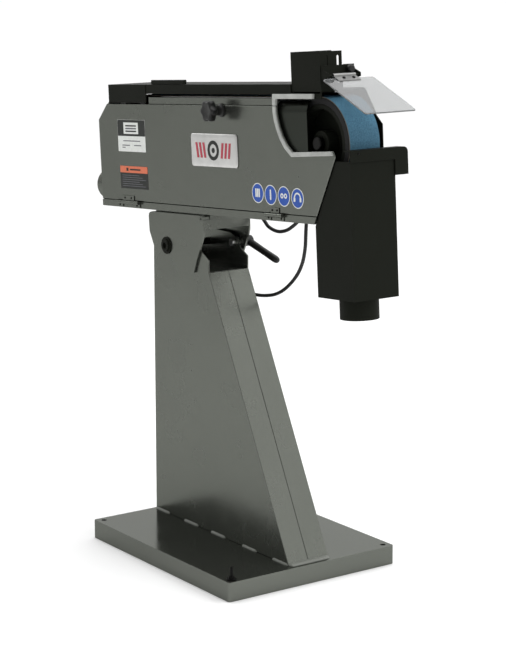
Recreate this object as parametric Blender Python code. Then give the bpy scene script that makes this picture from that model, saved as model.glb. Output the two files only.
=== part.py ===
"""Belt grinder on a folded steel stand.  Metres, +Z up, +X towards the contact wheel, -Y the door side."""

import bpy
import bmesh
import math
from mathutils import Vector

# ---------------------------------------------------------------- frame
OBJECT = "belt_grinder"
CENTRE_X = -0.00286             # object centre, from the base centre
CENTRE_Y = 0.03802
PIVOT_X = -0.2042              # tilt pivot of the head, from the base centre
PIVOT_Z = 0.6745
TILT = math.radians(4.07)      # rest tilt of the head, wheel end up
GAP = 0.0003                   # air between touching pieces
ROUND = 32                     # segments of a full circle

# ---------------------------------------------------------------- base and stand
BASE_X = 0.5466
BASE_Y = 0.4425
BASE_H = 0.0424
BASE_T = 0.004
BASE_LIP = 0.012
BASE_CORNER = 0.006
HOLE_X = 0.256
HOLE_Y = 0.2035
HOLE_R = 0.006
STAND_Y = 0.0535
STAND_T = 0.003
STAND_REAR = -0.2675
STAND_FOOT = 0.2542
SLOPE_TOP_X = -0.0451
SLOPE_TOP_Z = 0.6336
REAR_FLANGE_Z = 0.655
WEB_Z = 0.636
PIVOT_R = 0.008
RUN = 0.0003                   # radial air round a shaft
LOCK_RADIUS = 0.1088
LOCK_ANGLE = math.radians(2.0)
LOCK_R = 0.005
SLOT_LOW = math.radians(-13.8)
SLOT_HIGH = math.radians(6.8)

# ---------------------------------------------------------------- head
SHEET = 0.003
NEAR = -0.0595                 # outer face of the door
FAR = 0.0575                   # outer face of the back plate
BOTTOM = 0.0779
STRIP_TOP = 0.0927
DOOR_BOTTOM = 0.0942
DOOR_TOP = 0.3155
RAIL_LOW = 0.3168
RAIL_TOP = 0.331
REAR = -0.2685
CHAMFER_W = 0.2784
CHAMFER_U = -0.2118
FRONT_FOOT_U = 0.5553
FRONT_TOP_U = 0.6288
FRONT_TOP_W = 0.2072
CHEEK_Y = 0.0585                # outer face of the near cheek
CHEEK_FAR = 0.0675             # outer face of the far cheek
CHEEK_T = 0.004
WHEEL_U = 0.5602
WHEEL_W = 0.2399
WHEEL_PITCH = 0.707            # centre distance of the two wheels
DRIVE_U = WHEEL_U - WHEEL_PITCH
BELT_R = 0.0944
BELT_T = 0.0015
BELT_Y = 0.038
WHEEL_R = BELT_R - BELT_T - GAP
WHEEL_Y = 0.039
AXLE_R = 0.008
SHAFT_R = 0.012
MOTOR_R = 0.088
MOTOR_Y0 = 0.06
MOTOR_Y1 = 0.235
CHUTE_Y = 0.0575
CHUTE_T = 0.0025
CHUTE_FRONT = 0.6758
CHUTE_BOTTOM = -0.0711
OUTLET_U = 0.6188
OUTLET_R = 0.0405
OUTLET_W = -0.115
PORT_R = 0.0365
PORT_BORE = 0.0335
PORT_Y = -0.008
PORT_W = 0.123
PORT_END = -0.3153
CAP_U0 = -0.2156
CAP_U1 = -0.0556
LID_U0 = -0.055
LID_U1 = 0.4935
LID_LOW = 0.339
LID_TOP = 0.3597
LID_HINGE_Y = 0.0665
LID_HINGE_W = 0.3545
DOOR_HINGE_Y = -0.0645
DOOR_HINGE_W = 0.0905
KNOB_U = 0.242
KNOB_W = 0.305
BRACKET_U0 = 0.494
BRACKET_U1 = 0.5916
BRACKET_FAR = -0.0022
BRACKET_TOP = 0.4241
VISOR_AXIS_U = 0.6117
VISOR_AXIS_W = 0.3758
VISOR_TOP = (0.62, 0.37)
VISOR_END = (0.752, 0.3045)
LEAD_R = 0.004

# ---------------------------------------------------------------- scene set-up


def clear_scene():
    for item in list(bpy.data.objects):
        bpy.data.objects.remove(item, do_unlink=True)


def new_collection(name):
    group = bpy.data.collections.new(name)
    bpy.context.scene.collection.children.link(group)
    return group


clear_scene()
PARTS = new_collection(OBJECT)
CUTTERS = new_collection("cutters")
CUTTERS.hide_render = True


def empty(name, location, parent=None):
    item = bpy.data.objects.new(name, None)
    item.location = location
    item.parent = parent
    PARTS.objects.link(item)
    return item


ROOT = empty("object_frame", (-CENTRE_X, -CENTRE_Y, 0.0))
HEAD = empty("head_frame", (PIVOT_X, 0.0, PIVOT_Z), ROOT)
HEAD.rotation_euler = (0.0, -TILT, 0.0)

COLOURS = {
    "grey_paint": (0.13, 0.14, 0.125, 0.0, 0.4),
    "black_paint": (0.02, 0.022, 0.018, 0.0, 0.45),
    "steel": (0.55, 0.55, 0.54, 1.0, 0.3),
    "aluminium": (0.7, 0.7, 0.7, 1.0, 0.4),
    "rubber": (0.02, 0.02, 0.02, 0.0, 0.8),
    "plastic": (0.025, 0.025, 0.025, 0.0, 0.5),
    "abrasive": (0.07, 0.2, 0.33, 0.0, 0.9),
    "acrylic": (0.7, 0.75, 0.75, 0.0, 0.1),
    "green": (0.02, 0.3, 0.08, 0.0, 0.4),
    "red": (0.5, 0.02, 0.02, 0.0, 0.4),
}


def material_for(name, colour):
    red, green, blue, metallic, roughness = COLOURS[colour]
    mat = bpy.data.materials.new(name)
    mat.use_nodes = True
    shader = mat.node_tree.nodes["Principled BSDF"]
    shader.inputs["Base Color"].default_value = (red, green, blue, 1.0)
    shader.inputs["Metallic"].default_value = metallic
    shader.inputs["Roughness"].default_value = roughness
    return mat


def add_object(name, bm, parent, origin, group):
    bmesh.ops.recalc_face_normals(bm, faces=bm.faces[:])
    bmesh.ops.translate(bm, verts=bm.verts[:], vec=-Vector(origin))
    mesh = bpy.data.meshes.new(name)
    bm.to_mesh(mesh)
    bm.free()
    item = bpy.data.objects.new(name, mesh)
    item.location = origin
    item.parent = parent
    group.objects.link(item)
    return item


def part(name, bm, colour, parent=HEAD, origin=(0.0, 0.0, 0.0)):
    """A finished piece; origin is the point of its joint axis in the parent's frame."""
    item = add_object(name, bm, parent, origin, PARTS)
    item.data.materials.append(material_for(name, colour))
    return item


def combine(target, bm, operation):
    """Adds or cuts a closed shape given in the frame of the target's parent."""
    tool = add_object(target.name + "_tool", bm, target.parent, (0.0, 0.0, 0.0), CUTTERS)
    tool.display_type = "WIRE"
    tool.hide_render = True
    step = target.modifiers.new(operation.lower(), "BOOLEAN")
    step.operation = operation
    step.solver = "EXACT"
    step.object = tool


def cut(target, *shapes):
    for shape in shapes:
        combine(target, shape, "DIFFERENCE")


def join(target, *shapes):
    for shape in shapes:
        combine(target, shape, "UNION")


# ---------------------------------------------------------------- shape makers

ORDER = {"xz": (0, 2, 1), "yz": (1, 2, 0), "xy": (0, 1, 2)}


def place(plane, first, second, third):
    """A point whose first two numbers lie in the plane and whose third is along its normal."""
    point = [0.0, 0.0, 0.0]
    order = ORDER[plane]
    point[order[0]] = first
    point[order[1]] = second
    point[order[2]] = third
    return point


def prism(points, low, high, plane="xz"):
    bm = bmesh.new()
    front = [bm.verts.new(place(plane, a, b, low)) for a, b in points]
    back = [bm.verts.new(place(plane, a, b, high)) for a, b in points]
    bm.faces.new(front)
    bm.faces.new(back)
    count = len(points)
    for i in range(count):
        j = (i + 1) % count
        bm.faces.new((front[i], front[j], back[j], back[i]))
    return bm


def box(x0, x1, y0, y1, z0, z1):
    return prism([(x0, z0), (x1, z0), (x1, z1), (x0, z1)], y0, y1)


def ring(outer, inner, low, high, plane="xz"):
    """A tube whose outer and inner outlines have the same number of points."""
    bm = bmesh.new()
    loops = []
    for points, depth in ((outer, low), (outer, high), (inner, high), (inner, low)):
        loops.append([bm.verts.new(place(plane, a, b, depth)) for a, b in points])
    count = len(outer)
    for k in range(4):
        one = loops[k]
        two = loops[(k + 1) % 4]
        for i in range(count):
            j = (i + 1) % count
            bm.faces.new((one[i], one[j], two[j], two[i]))
    return bm


def circle(cx, cy, radius, count=ROUND, phase=0.0):
    points = []
    for i in range(count):
        angle = phase + 2.0 * math.pi * i / count
        points.append((cx + radius * math.cos(angle), cy + radius * math.sin(angle)))
    return points


def rod(cx, cy, radius, low, high, plane="xz", count=ROUND):
    return prism(circle(cx, cy, radius, count), low, high, plane)


def hexagon(cx, cy, across, count=24):
    """Points along a regular hexagon, with the flats across the given distance."""
    points = []
    for i in range(count):
        angle = 2.0 * math.pi * i / count
        local = (angle % (math.pi / 3.0)) - math.pi / 6.0
        radius = 0.5 * across / math.cos(local)
        points.append((cx + radius * math.cos(angle), cy + radius * math.sin(angle)))
    return points


def turned(cx, cy, profile, plane="xz", count=ROUND):
    """A solid of revolution; profile is a closed loop of (radius, height), zero radius on the axis."""
    bm = bmesh.new()
    rings = []
    for radius, height in profile:
        if radius < 1e-9:
            rings.append([bm.verts.new(place(plane, cx, cy, height))])
        else:
            outline = circle(cx, cy, radius, count)
            rings.append([bm.verts.new(place(plane, a, b, height)) for a, b in outline])
    total = len(rings)
    for k in range(total):
        one = rings[k]
        two = rings[(k + 1) % total]
        if len(one) == 1 and len(two) == 1:
            continue
        for i in range(count):
            j = (i + 1) % count
            if len(one) == 1:
                bm.faces.new((one[0], two[j], two[i]))
            elif len(two) == 1:
                bm.faces.new((one[i], one[j], two[0]))
            else:
                bm.faces.new((one[i], one[j], two[j], two[i]))
    return bm


def rounded(x0, x1, y0, y1, radius, steps=4):
    """A rectangle with rounded corners."""
    points = []
    corners = ((x1 - radius, y0 + radius, -0.5), (x1 - radius, y1 - radius, 0.0),
               (x0 + radius, y1 - radius, 0.5), (x0 + radius, y0 + radius, 1.0))
    for cx, cy, start in corners:
        for i in range(steps + 1):
            angle = math.pi * (start + 0.5 * i / steps)
            points.append((cx + radius * math.cos(angle), cy + radius * math.sin(angle)))
    return points


def smooth_route(points, per_span):
    """A smooth line of points through the given ones."""
    ends = [Vector(p) for p in points]
    chain = [ends[0] * 2.0 - ends[1]] + ends + [ends[-1] * 2.0 - ends[-2]]
    route = []
    for k in range(1, len(chain) - 2):
        a, b, c, d = chain[k - 1:k + 3]
        for i in range(per_span):
            t = i / per_span
            route.append(0.5 * (2.0 * b + (c - a) * t + (2.0 * a - 5.0 * b + 4.0 * c - d) * t * t
                                + (3.0 * b - a - 3.0 * c + d) * t * t * t))
    route.append(ends[-1])
    return route


def lead(name, points, parent):
    data = bpy.data.curves.new(name, "CURVE")
    data.dimensions = "3D"
    data.bevel_depth = LEAD_R
    data.bevel_resolution = 2
    data.use_fill_caps = True
    route = smooth_route(points, 4)
    spline = data.splines.new("POLY")
    spline.points.add(len(route) - 1)
    for target, point in zip(spline.points, route):
        target.co = (point[0], point[1], point[2], 1.0)
    item = bpy.data.objects.new(name, data)
    item.parent = parent
    data.materials.append(material_for(name, "rubber"))
    PARTS.objects.link(item)
    return item


def from_stand(x, y, z):
    """A point of the stand, given in the head's frame."""
    dx = x - PIVOT_X
    dz = z - PIVOT_Z
    c = math.cos(TILT)
    s = math.sin(TILT)
    return (dx * c + dz * s, y, dz * c - dx * s)


# ---------------------------------------------------------------- base


def base_pan():
    pan = part("base_pan", prism(rounded(-BASE_X / 2, BASE_X / 2, -BASE_Y / 2, BASE_Y / 2, BASE_CORNER),
                                 0.0, BASE_H, "xy"), "grey_paint", ROOT)
    inner_x = BASE_X / 2 - BASE_T
    inner_y = BASE_Y / 2 - BASE_T
    cut(pan, box(-inner_x, inner_x, -inner_y, inner_y, BASE_T, BASE_H - BASE_T))
    lip_x = BASE_X / 2 - BASE_LIP
    lip_y = BASE_Y / 2 - BASE_LIP
    cut(pan, box(-lip_x, lip_x, -lip_y, lip_y, -0.01, BASE_T + 0.001))
    for x in (-HOLE_X, HOLE_X):
        for y in (-HOLE_Y, HOLE_Y):
            cut(pan, rod(x, y, HOLE_R, BASE_H - 2 * BASE_T, BASE_H + 0.01, "xy", 20))


def levelling_bolt():
    shaft = 0.0034
    top = BASE_H + GAP
    profile = [(0.0, 0.024), (shaft, 0.024), (shaft, 0.032), (0.008, 0.032), (0.008, BASE_H - BASE_T - GAP),
               (shaft, BASE_H - BASE_T - GAP), (shaft, top), (0.011, top), (0.011, top + 0.002),
               (0.0065, top + 0.002), (0.0065, top + 0.0075), (shaft, top + 0.0075),
               (shaft, top + 0.0265), (0.0025, top + 0.028), (0.0, top + 0.028)]
    part("levelling_bolt", turned(HOLE_X, -HOLE_Y, profile, "xy", 18), "steel", ROOT)


# ---------------------------------------------------------------- stand


def stand_outline():
    foot = BASE_H + GAP
    return [(STAND_REAR, foot), (STAND_FOOT, foot), (SLOPE_TOP_X, SLOPE_TOP_Z), (-0.045, 0.662),
            (-0.072, 0.6764), (-0.085, 0.697), (-0.11, 0.706), (-0.235, 0.706), (-0.26, 0.692),
            (STAND_REAR, 0.675)]


def stand_hollow():
    shift_x = 0.00268
    shift_z = 0.00136
    rise = (SLOPE_TOP_Z - BASE_H) / (SLOPE_TOP_X - STAND_FOOT)
    low = 0.03
    front_low = STAND_FOOT - shift_x + (low - BASE_H + shift_z) / rise
    clear = 0.1
    return [(STAND_REAR + STAND_T, low), (front_low, low), (SLOPE_TOP_X - shift_x, SLOPE_TOP_Z - shift_z),
            (SLOPE_TOP_X - shift_x, SLOPE_TOP_Z), (clear, SLOPE_TOP_Z), (clear, 0.8),
            (STAND_REAR - clear, 0.8), (STAND_REAR - clear, REAR_FLANGE_Z),
            (STAND_REAR + STAND_T, REAR_FLANGE_Z)]


def lock_point():
    """The lock bolt's centre in the stand's frame."""
    angle = LOCK_ANGLE + TILT
    return (PIVOT_X + LOCK_RADIUS * math.cos(angle), PIVOT_Z + LOCK_RADIUS * math.sin(angle))


def stand_halves():
    for name, side in (("stand_near_half", -1.0), ("stand_far_half", 1.0)):
        outer = sorted((side * STAND_Y, side * GAP))
        inner = sorted((side * (STAND_Y - STAND_T), side * -0.01))
        half = part(name, prism(stand_outline(), outer[0], outer[1]), "grey_paint", ROOT)
        cut(half, prism(stand_hollow(), inner[0], inner[1]))
        wall = sorted((side * (STAND_Y + 0.01), side * (STAND_Y - 2 * STAND_T)))
        cut(half, rod(PIVOT_X, PIVOT_Z, PIVOT_R + RUN, wall[0], wall[1]))
        if side > 0:
            x, z = lock_point()
            cut(half, rod(x, z, LOCK_R + RUN, wall[0], wall[1], count=20))


def stand_top_web():
    inner = STAND_Y - STAND_T - GAP
    part("stand_top_web", box(STAND_REAR + STAND_T + GAP, -0.055, -inner, inner, WEB_Z - 0.006, WEB_Z - 0.003),
         "grey_paint", ROOT)


def pivot_hardware():
    face = CHEEK_Y + GAP
    far = CHEEK_FAR + GAP
    inner = CHEEK_FAR - CHEEK_T - GAP
    profile = [(0.0, -0.0655), (0.0135, -0.0655), (0.0145, -0.0645), (0.0145, -face - 0.0025),
               (0.0195, -face - 0.0025), (0.0195, -face), (PIVOT_R, -face), (PIVOT_R, STAND_Y + GAP),
               (0.013, STAND_Y + GAP), (0.013, inner), (PIVOT_R, inner), (PIVOT_R, far + 0.0135), (0.0, far + 0.0135)]
    bolt = part("pivot_bolt", turned(PIVOT_X, PIVOT_Z, profile), "black_paint", ROOT)
    cut(bolt, prism(hexagon(PIVOT_X, PIVOT_Z, 0.013, 6), -0.08, -0.0605))
    part("pivot_nut", ring(hexagon(PIVOT_X, PIVOT_Z, 0.028), circle(PIVOT_X, PIVOT_Z, PIVOT_R + RUN, 24),
                           far, far + 0.01), "steel", ROOT)


GRIP_Y = CHEEK_FAR + 0.0205     # centre line of the clamp lever's grip at its hub


def lock_hardware():
    x, z = lock_point()
    face = CHEEK_FAR + GAP
    inner = CHEEK_FAR - CHEEK_T - GAP
    profile = [(0.0, 0.0415), (0.008, 0.0415), (0.008, STAND_Y - STAND_T - GAP),
               (LOCK_R, STAND_Y - STAND_T - GAP), (LOCK_R, STAND_Y + GAP), (0.009, STAND_Y + GAP), (0.009, inner),
               (LOCK_R, inner), (LOCK_R, face), (0.0148, face), (0.0148, face + 0.0018),
               (LOCK_R, face + 0.0018), (LOCK_R, face + 0.0102), (0.0, face + 0.0102)]
    part("lock_bolt", turned(x, z, profile, count=20), "steel", ROOT)
    start = face + 0.0024
    hub = [(0.0, start), (0.0115, start), (0.0125, start + 0.0013), (0.0125, start + 0.0248), (0.010, start + 0.0278),
           (0.0, start + 0.0278)]
    lever = part("clamp_lever", turned(x, z, hub, count=20), "plastic", ROOT, (x, 0.0, z))
    cut(lever, rod(x, z, LOCK_R + RUN, 0.06, face + 0.0107, count=20))
    join(lever, lever_grip(x, z))


def lever_grip(x, z):
    """A round grip leaning down and away from the hub."""
    stations = ((0.004, 0.0086), (0.03, 0.0084), (0.06, 0.0082), (0.09, 0.0086), (0.1015, 0.0082), (0.107, 0.0055))
    lean = math.radians(-18.6)
    out = math.radians(6.0)
    along = Vector((math.cos(lean) * math.cos(out), math.sin(out), math.sin(lean) * math.cos(out)))
    side = Vector((0.0, 1.0, 0.0)).cross(along).normalized()
    up = along.cross(side)
    bm = bmesh.new()
    loops = []
    for distance, radius in stations:
        centre = Vector((x, GRIP_Y, z)) + along * distance
        loops.append([bm.verts.new(centre + side * a + up * b) for a, b in circle(0.0, 0.0, radius, 14)])
    bm.faces.new(loops[0])
    bm.faces.new(loops[-1])
    for one, two in zip(loops, loops[1:]):
        for i in range(14):
            j = (i + 1) % 14
            bm.faces.new((one[i], one[j], two[j], two[i]))
    return bm


# ---------------------------------------------------------------- switch gear on the stand

SWITCH_X0 = -0.25
SWITCH_X1 = -0.17
SWITCH_Z0 = 0.45
SWITCH_Z1 = 0.598
SWITCH_Y0 = STAND_Y + 0.0005
SWITCH_Y1 = 0.112
BUTTONS = (("start_button", 0.558, 0.0, "green"), ("stop_button", 0.498, 0.004, "red"))
BUTTON_R = 0.011
GLAND_R = 0.009


def switch_gear():
    case = part("switch_box", prism(rounded(SWITCH_X0, SWITCH_X1, SWITCH_Z0, SWITCH_Z1, 0.004, 3),
                                    SWITCH_Y0, SWITCH_Y1), "plastic", ROOT)
    wall = 0.003
    cut(case, box(SWITCH_X0 + wall, SWITCH_X1 - wall, SWITCH_Y0 + wall, SWITCH_Y1 + 0.01,
                  SWITCH_Z0 + wall, SWITCH_Z1 - wall))
    middle = (SWITCH_X0 + SWITCH_X1) / 2
    cover = part("switch_cover", prism(rounded(SWITCH_X0, SWITCH_X1, SWITCH_Z0, SWITCH_Z1, 0.004, 3),
                                       SWITCH_Y1 + GAP, SWITCH_Y1 + 0.004), "plastic", ROOT)
    for name, z, extra, colour in BUTTONS:
        cut(cover, rod(middle, z, BUTTON_R + 0.0005, SWITCH_Y1 - 0.005, SWITCH_Y1 + 0.01, count=24))
        front = SWITCH_Y1 + 0.009 + extra
        profile = [(0.0, SWITCH_Y1 - 0.012), (BUTTON_R, SWITCH_Y1 - 0.012), (BUTTON_R, front - 0.0015),
                   (BUTTON_R - 0.0015, front), (0.0, front)]
        part(name, turned(middle, z, profile, count=24), colour, ROOT, (middle, SWITCH_Y1, z))


def gland(name, cx, cy, plane, face, direction, parent):
    """A cable gland with its nut: face is the wall it stands on, direction the way the lead leaves."""
    steps = ((0.0, 0.0), (0.011, 0.0), (0.011, 0.005), (GLAND_R, 0.006), (GLAND_R, 0.015), (0.0065, 0.018),
             (0.0, 0.018))
    profile = [(radius, face + direction * (GAP + height)) for radius, height in steps]
    part(name, turned(cx, cy, profile, plane, 18), "plastic", parent)


# ---------------------------------------------------------------- head shell


def shell_outline():
    return [(REAR, BOTTOM), (FRONT_FOOT_U, BOTTOM), (FRONT_TOP_U, FRONT_TOP_W), (0.56, FRONT_TOP_W),
            (0.56, RAIL_TOP), (CHAMFER_U, RAIL_TOP), (REAR, CHAMFER_W)]


def head_shell():
    shell = part("head_shell", prism(shell_outline(), NEAR, FAR), "grey_paint")
    beyond = 0.5
    hollow = [(REAR + SHEET, BOTTOM + SHEET), (0.75, BOTTOM + SHEET), (0.75, beyond), (-0.2077, beyond),
              (-0.2077, RAIL_TOP), (REAR + SHEET, 0.2771)]
    cut(shell, prism(hollow, NEAR + SHEET, FAR - SHEET))
    cut(shell, box(-0.35, 0.75, NEAR - 0.02, NEAR + SHEET + 0.0001, STRIP_TOP, beyond))
    cut(shell, rod(DRIVE_U, WHEEL_W, 0.03, FAR - 0.01, FAR + 0.01))
    cut(shell, rod(PORT_Y, PORT_W, PORT_BORE, REAR - 0.01, REAR + 0.01, "yz"))


def cheek_outline():
    return [(-0.0575, 0.0775), (-0.0575, 0.0738), (-0.0655, 0.0718), (-0.0697, 0.0683), (-0.0712, 0.063),
            (-0.0704, 0.029), (-0.0545, -0.0045), (-0.043, -0.0546), (0.1045, -0.0546), (0.1185, -0.0256),
            (0.1315, -0.0034), (0.1405, 0.0132), (0.1463, 0.0235), (0.1497, 0.033), (0.1505, 0.042), (0.1505, 0.0775)]


def arc_slot(radius, half_width, low, high, steps=10):
    """Outline of a slot that follows an arc about the pivot."""
    points = []
    for i in range(steps + 1):
        angle = low + (high - low) * i / steps
        points.append(((radius + half_width) * math.cos(angle), (radius + half_width) * math.sin(angle)))
    points += cap_points(radius, half_width, high, 1.0)
    for i in range(steps + 1):
        angle = high + (low - high) * i / steps
        points.append(((radius - half_width) * math.cos(angle), (radius - half_width) * math.sin(angle)))
    points += cap_points(radius, half_width, low, -1.0)
    return points


def cap_points(radius, half_width, angle, turn):
    """The rounded end of an arc slot, without its two end points."""
    cx = radius * math.cos(angle)
    cy = radius * math.sin(angle)
    start = angle if turn > 0 else angle + math.pi
    points = []
    for i in range(1, 6):
        a = start + math.pi * i / 6
        points.append((cx + half_width * math.cos(a), cy + half_width * math.sin(a)))
    return points


def head_bracket():
    """Two cheeks and a front web under a plate that sits inside a narrow step all round."""
    bracket = part("head_bracket", prism(cheek_outline(), -CHEEK_Y, CHEEK_FAR), "grey_paint")
    web_u = 0.1465
    web_w = 0.042
    top_w = 0.0695
    step_w = 0.0738
    near = CHEEK_T - CHEEK_Y
    far = CHEEK_FAR - CHEEK_T
    hollow = [(-0.2, -0.2), (0.3, -0.2), (0.3, web_w), (web_u, web_w), (web_u, top_w), (-0.2, top_w)]
    cut(bracket, prism(hollow, near, far))
    cut(bracket, box(-0.2, 0.3, -0.08, near + 0.008, step_w, 0.09), box(-0.2, 0.3, far - 0.006, 0.08, step_w, 0.09),
        box(web_u - 0.008, 0.3, -0.08, 0.08, step_w, 0.09))
    cut(bracket, box(web_u - 0.009, 0.16, -0.07, -0.0395, 0.0648, step_w + 0.001))
    cut(bracket, rod(0.0, 0.0, PIVOT_R + RUN, -CHEEK_Y - 0.01, CHEEK_FAR + 0.01))
    slot = arc_slot(LOCK_RADIUS, LOCK_R + 0.0006, SLOT_LOW, SLOT_HIGH)
    cut(bracket, prism(slot, far - 0.005, CHEEK_FAR + 0.01))


def top_rail():
    inner = -0.042
    tab_low = 0.29
    skin = NEAR + SHEET
    tab_u = 0.017
    rail_end = 0.4318
    rail = part("top_rail", box(-0.046, rail_end, NEAR, inner, tab_low, RAIL_TOP), "grey_paint")
    cut(rail, box(-0.1, KNOB_U - tab_u, skin, inner + 0.01, tab_low - 0.01, RAIL_TOP - SHEET))
    cut(rail, box(KNOB_U + tab_u, 0.5, skin, inner + 0.01, tab_low - 0.01, RAIL_TOP - SHEET))
    cut(rail, box(KNOB_U - tab_u - 0.001, KNOB_U + tab_u + 0.001, skin, inner - SHEET, tab_low - 0.01,
                  RAIL_TOP - SHEET))
    cut(rail, box(-0.1, 0.5, NEAR - 0.01, skin + 0.0005, tab_low - 0.01, RAIL_LOW))
    cut(rail, rod(KNOB_U, KNOB_W, 0.006, inner - 0.01, inner + 0.01, count=20))


def rear_cap():
    near = -0.061
    far = 0.0608
    wall = 0.0025
    low = RAIL_LOW + 0.0017
    back_low = RAIL_TOP + 0.0015
    cap = part("rear_cap", box(CAP_U0, CAP_U1, near, far, low, LID_TOP), "black_paint")
    hollow = [(CAP_U0 - 0.01, low - 0.01), (-0.04, low - 0.01), (-0.04, LID_TOP - wall),
              (CAP_U0 + wall, LID_TOP - wall), (CAP_U0 + wall, back_low), (CAP_U0 - 0.01, back_low)]
    cut(cap, prism(hollow, near + wall, far - wall))


# ---------------------------------------------------------------- window trims

TRIM_OUT = -0.0645
TRIM_IN = -0.0598
TRIM_OUTER = [(0.434, 0.3402), (0.4325, 0.316), (0.4332, 0.3), (0.4362, 0.286), (0.4423, 0.27), (0.4545, 0.2469),
              (0.4695, 0.2292), (0.4915, 0.2125), (0.6305, 0.2186)]
TRIM_INNER = [(0.4452, 0.3302), (0.4427, 0.316), (0.4432, 0.302), (0.4462, 0.2888), (0.4516, 0.2735), (0.4621, 0.2533),
              (0.4752, 0.2372), (0.4935, 0.2222), (0.6262, 0.2274)]


def trim_split():
    """Both outlines of the trim below the door's top line."""
    outer = [(0.4325, DOOR_TOP)] + TRIM_OUTER[2:]
    inner = [(0.4427, DOOR_TOP)] + TRIM_INNER[2:]
    return outer, inner


def window_trims():
    outer, inner = trim_split()
    part("window_trim_door", prism(outer + inner[::-1], TRIM_OUT, TRIM_IN), "aluminium",
         HEAD, (0.0, DOOR_HINGE_Y, DOOR_HINGE_W))
    top = [(0.4326, 0.3164), (0.434, 0.3402), (0.5712, 0.3406), (0.5706, 0.3305), (0.4452, 0.3302), (0.4429, 0.3164)]
    trim = part("window_trim_top", prism(top, TRIM_OUT, -0.0578), "aluminium")
    cut(trim, box(0.4, BRACKET_U0 - 0.0005, -0.0604, -0.05, LID_LOW - 0.0015, 0.35))


def belt_shield():
    """A sheet behind the window that covers the belt, with its top rolled inwards."""
    low = BOTTOM + SHEET + GAP
    skin = 0.002
    face = [(-0.0545, low), (-0.0545, 0.3), (-0.0541, 0.3065), (-0.0528, 0.3125), (-0.0505, 0.3178), (-0.047, 0.3222),
            (-0.0425, 0.3255)]
    back = [(y + skin, w - 0.0005 * k) for k, (y, w) in enumerate(face[1:])]
    section = face + back[::-1] + [(-0.0545 + skin, low)]
    part("belt_shield", prism(section, 0.4345, 0.5372, "yz"), "black_paint")


# ---------------------------------------------------------------- door


def door_outline():
    outer, inner = trim_split()
    edge = [(REAR, DOOR_BOTTOM), (0.5641, DOOR_BOTTOM), (0.6332, 0.2158), (0.6262, 0.2274)]
    return edge + inner[-2::-1] + [(-0.2285, DOOR_TOP), (REAR, CHAMFER_W)]


def door():
    origin = (0.0, DOOR_HINGE_Y, DOOR_HINGE_W)
    panel = part("door_panel", prism(door_outline(), NEAR, NEAR + SHEET), "grey_paint", HEAD, origin)
    slot = 0.0046
    cut(panel, box(KNOB_U - slot, KNOB_U + slot, NEAR - 0.01, NEAR + 0.01, KNOB_W - slot, DOOR_TOP + 0.01))
    part("badge_plate", prism(rounded(0.1213, 0.298, 0.183, 0.2545, 0.004), NEAR - 0.0045, NEAR - GAP),
         "aluminium", HEAD, origin)


def door_hinge(tag, low, high):
    """A butt hinge: the fixed leaf carries the pin, the door leaf its middle knuckle."""
    barrel = 0.0042
    pin = 0.0022
    knuckle = (high - low) * 0.25
    first = low + knuckle
    last = high - knuckle
    profile = [(0.0, low), (barrel, low), (barrel, first), (pin, first), (pin, last), (barrel, last),
               (barrel, high), (0.0, high)]
    fixed = part("door_hinge_" + tag, turned(DOOR_HINGE_Y, DOOR_HINGE_W, profile, "yz", 16), "grey_paint")
    leaf = NEAR - GAP
    for start, end in ((low, first), (last, high)):
        join(fixed, box(start, end, leaf - 0.0018, leaf, 0.0792, DOOR_HINGE_W))
    moving = part("door_leaf_" + tag, ring(circle(DOOR_HINGE_Y, DOOR_HINGE_W, barrel, 16),
                                           circle(DOOR_HINGE_Y, DOOR_HINGE_W, pin + RUN, 16),
                                           first + GAP, last - GAP, "yz"),
                  "grey_paint", HEAD, (0.0, DOOR_HINGE_Y, DOOR_HINGE_W))
    join(moving, box(first + GAP, last - GAP, leaf - 0.0018, leaf, DOOR_HINGE_W + 0.001, 0.106))


def door_knob():
    """A six-lobed hand knob with its stud."""
    lobes = 6
    count = lobes * 7
    outline = []
    for i in range(count):
        angle = 2.0 * math.pi * i / count
        radius = 0.0215 + 0.0028 * math.cos(lobes * angle)
        outline.append((KNOB_U + radius * math.cos(angle), KNOB_W + radius * math.sin(angle)))
    head = -0.1005
    knob = part("door_knob", prism(outline, head, head + 0.017), "plastic", HEAD, (KNOB_U, NEAR, KNOB_W))
    neck = [(0.0, head + 0.01), (0.0165, head + 0.01), (0.0165, head + 0.0172), (0.011, head + 0.024),
            (0.0105, NEAR - 0.0055), (0.0145, NEAR - 0.003), (0.0145, NEAR - 0.0006), (0.0038, NEAR - 0.0006),
            (0.0038, -0.0405), (0.0, -0.0405)]
    join(knob, turned(KNOB_U, KNOB_W, neck, count=24))


# ---------------------------------------------------------------- lid


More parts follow.
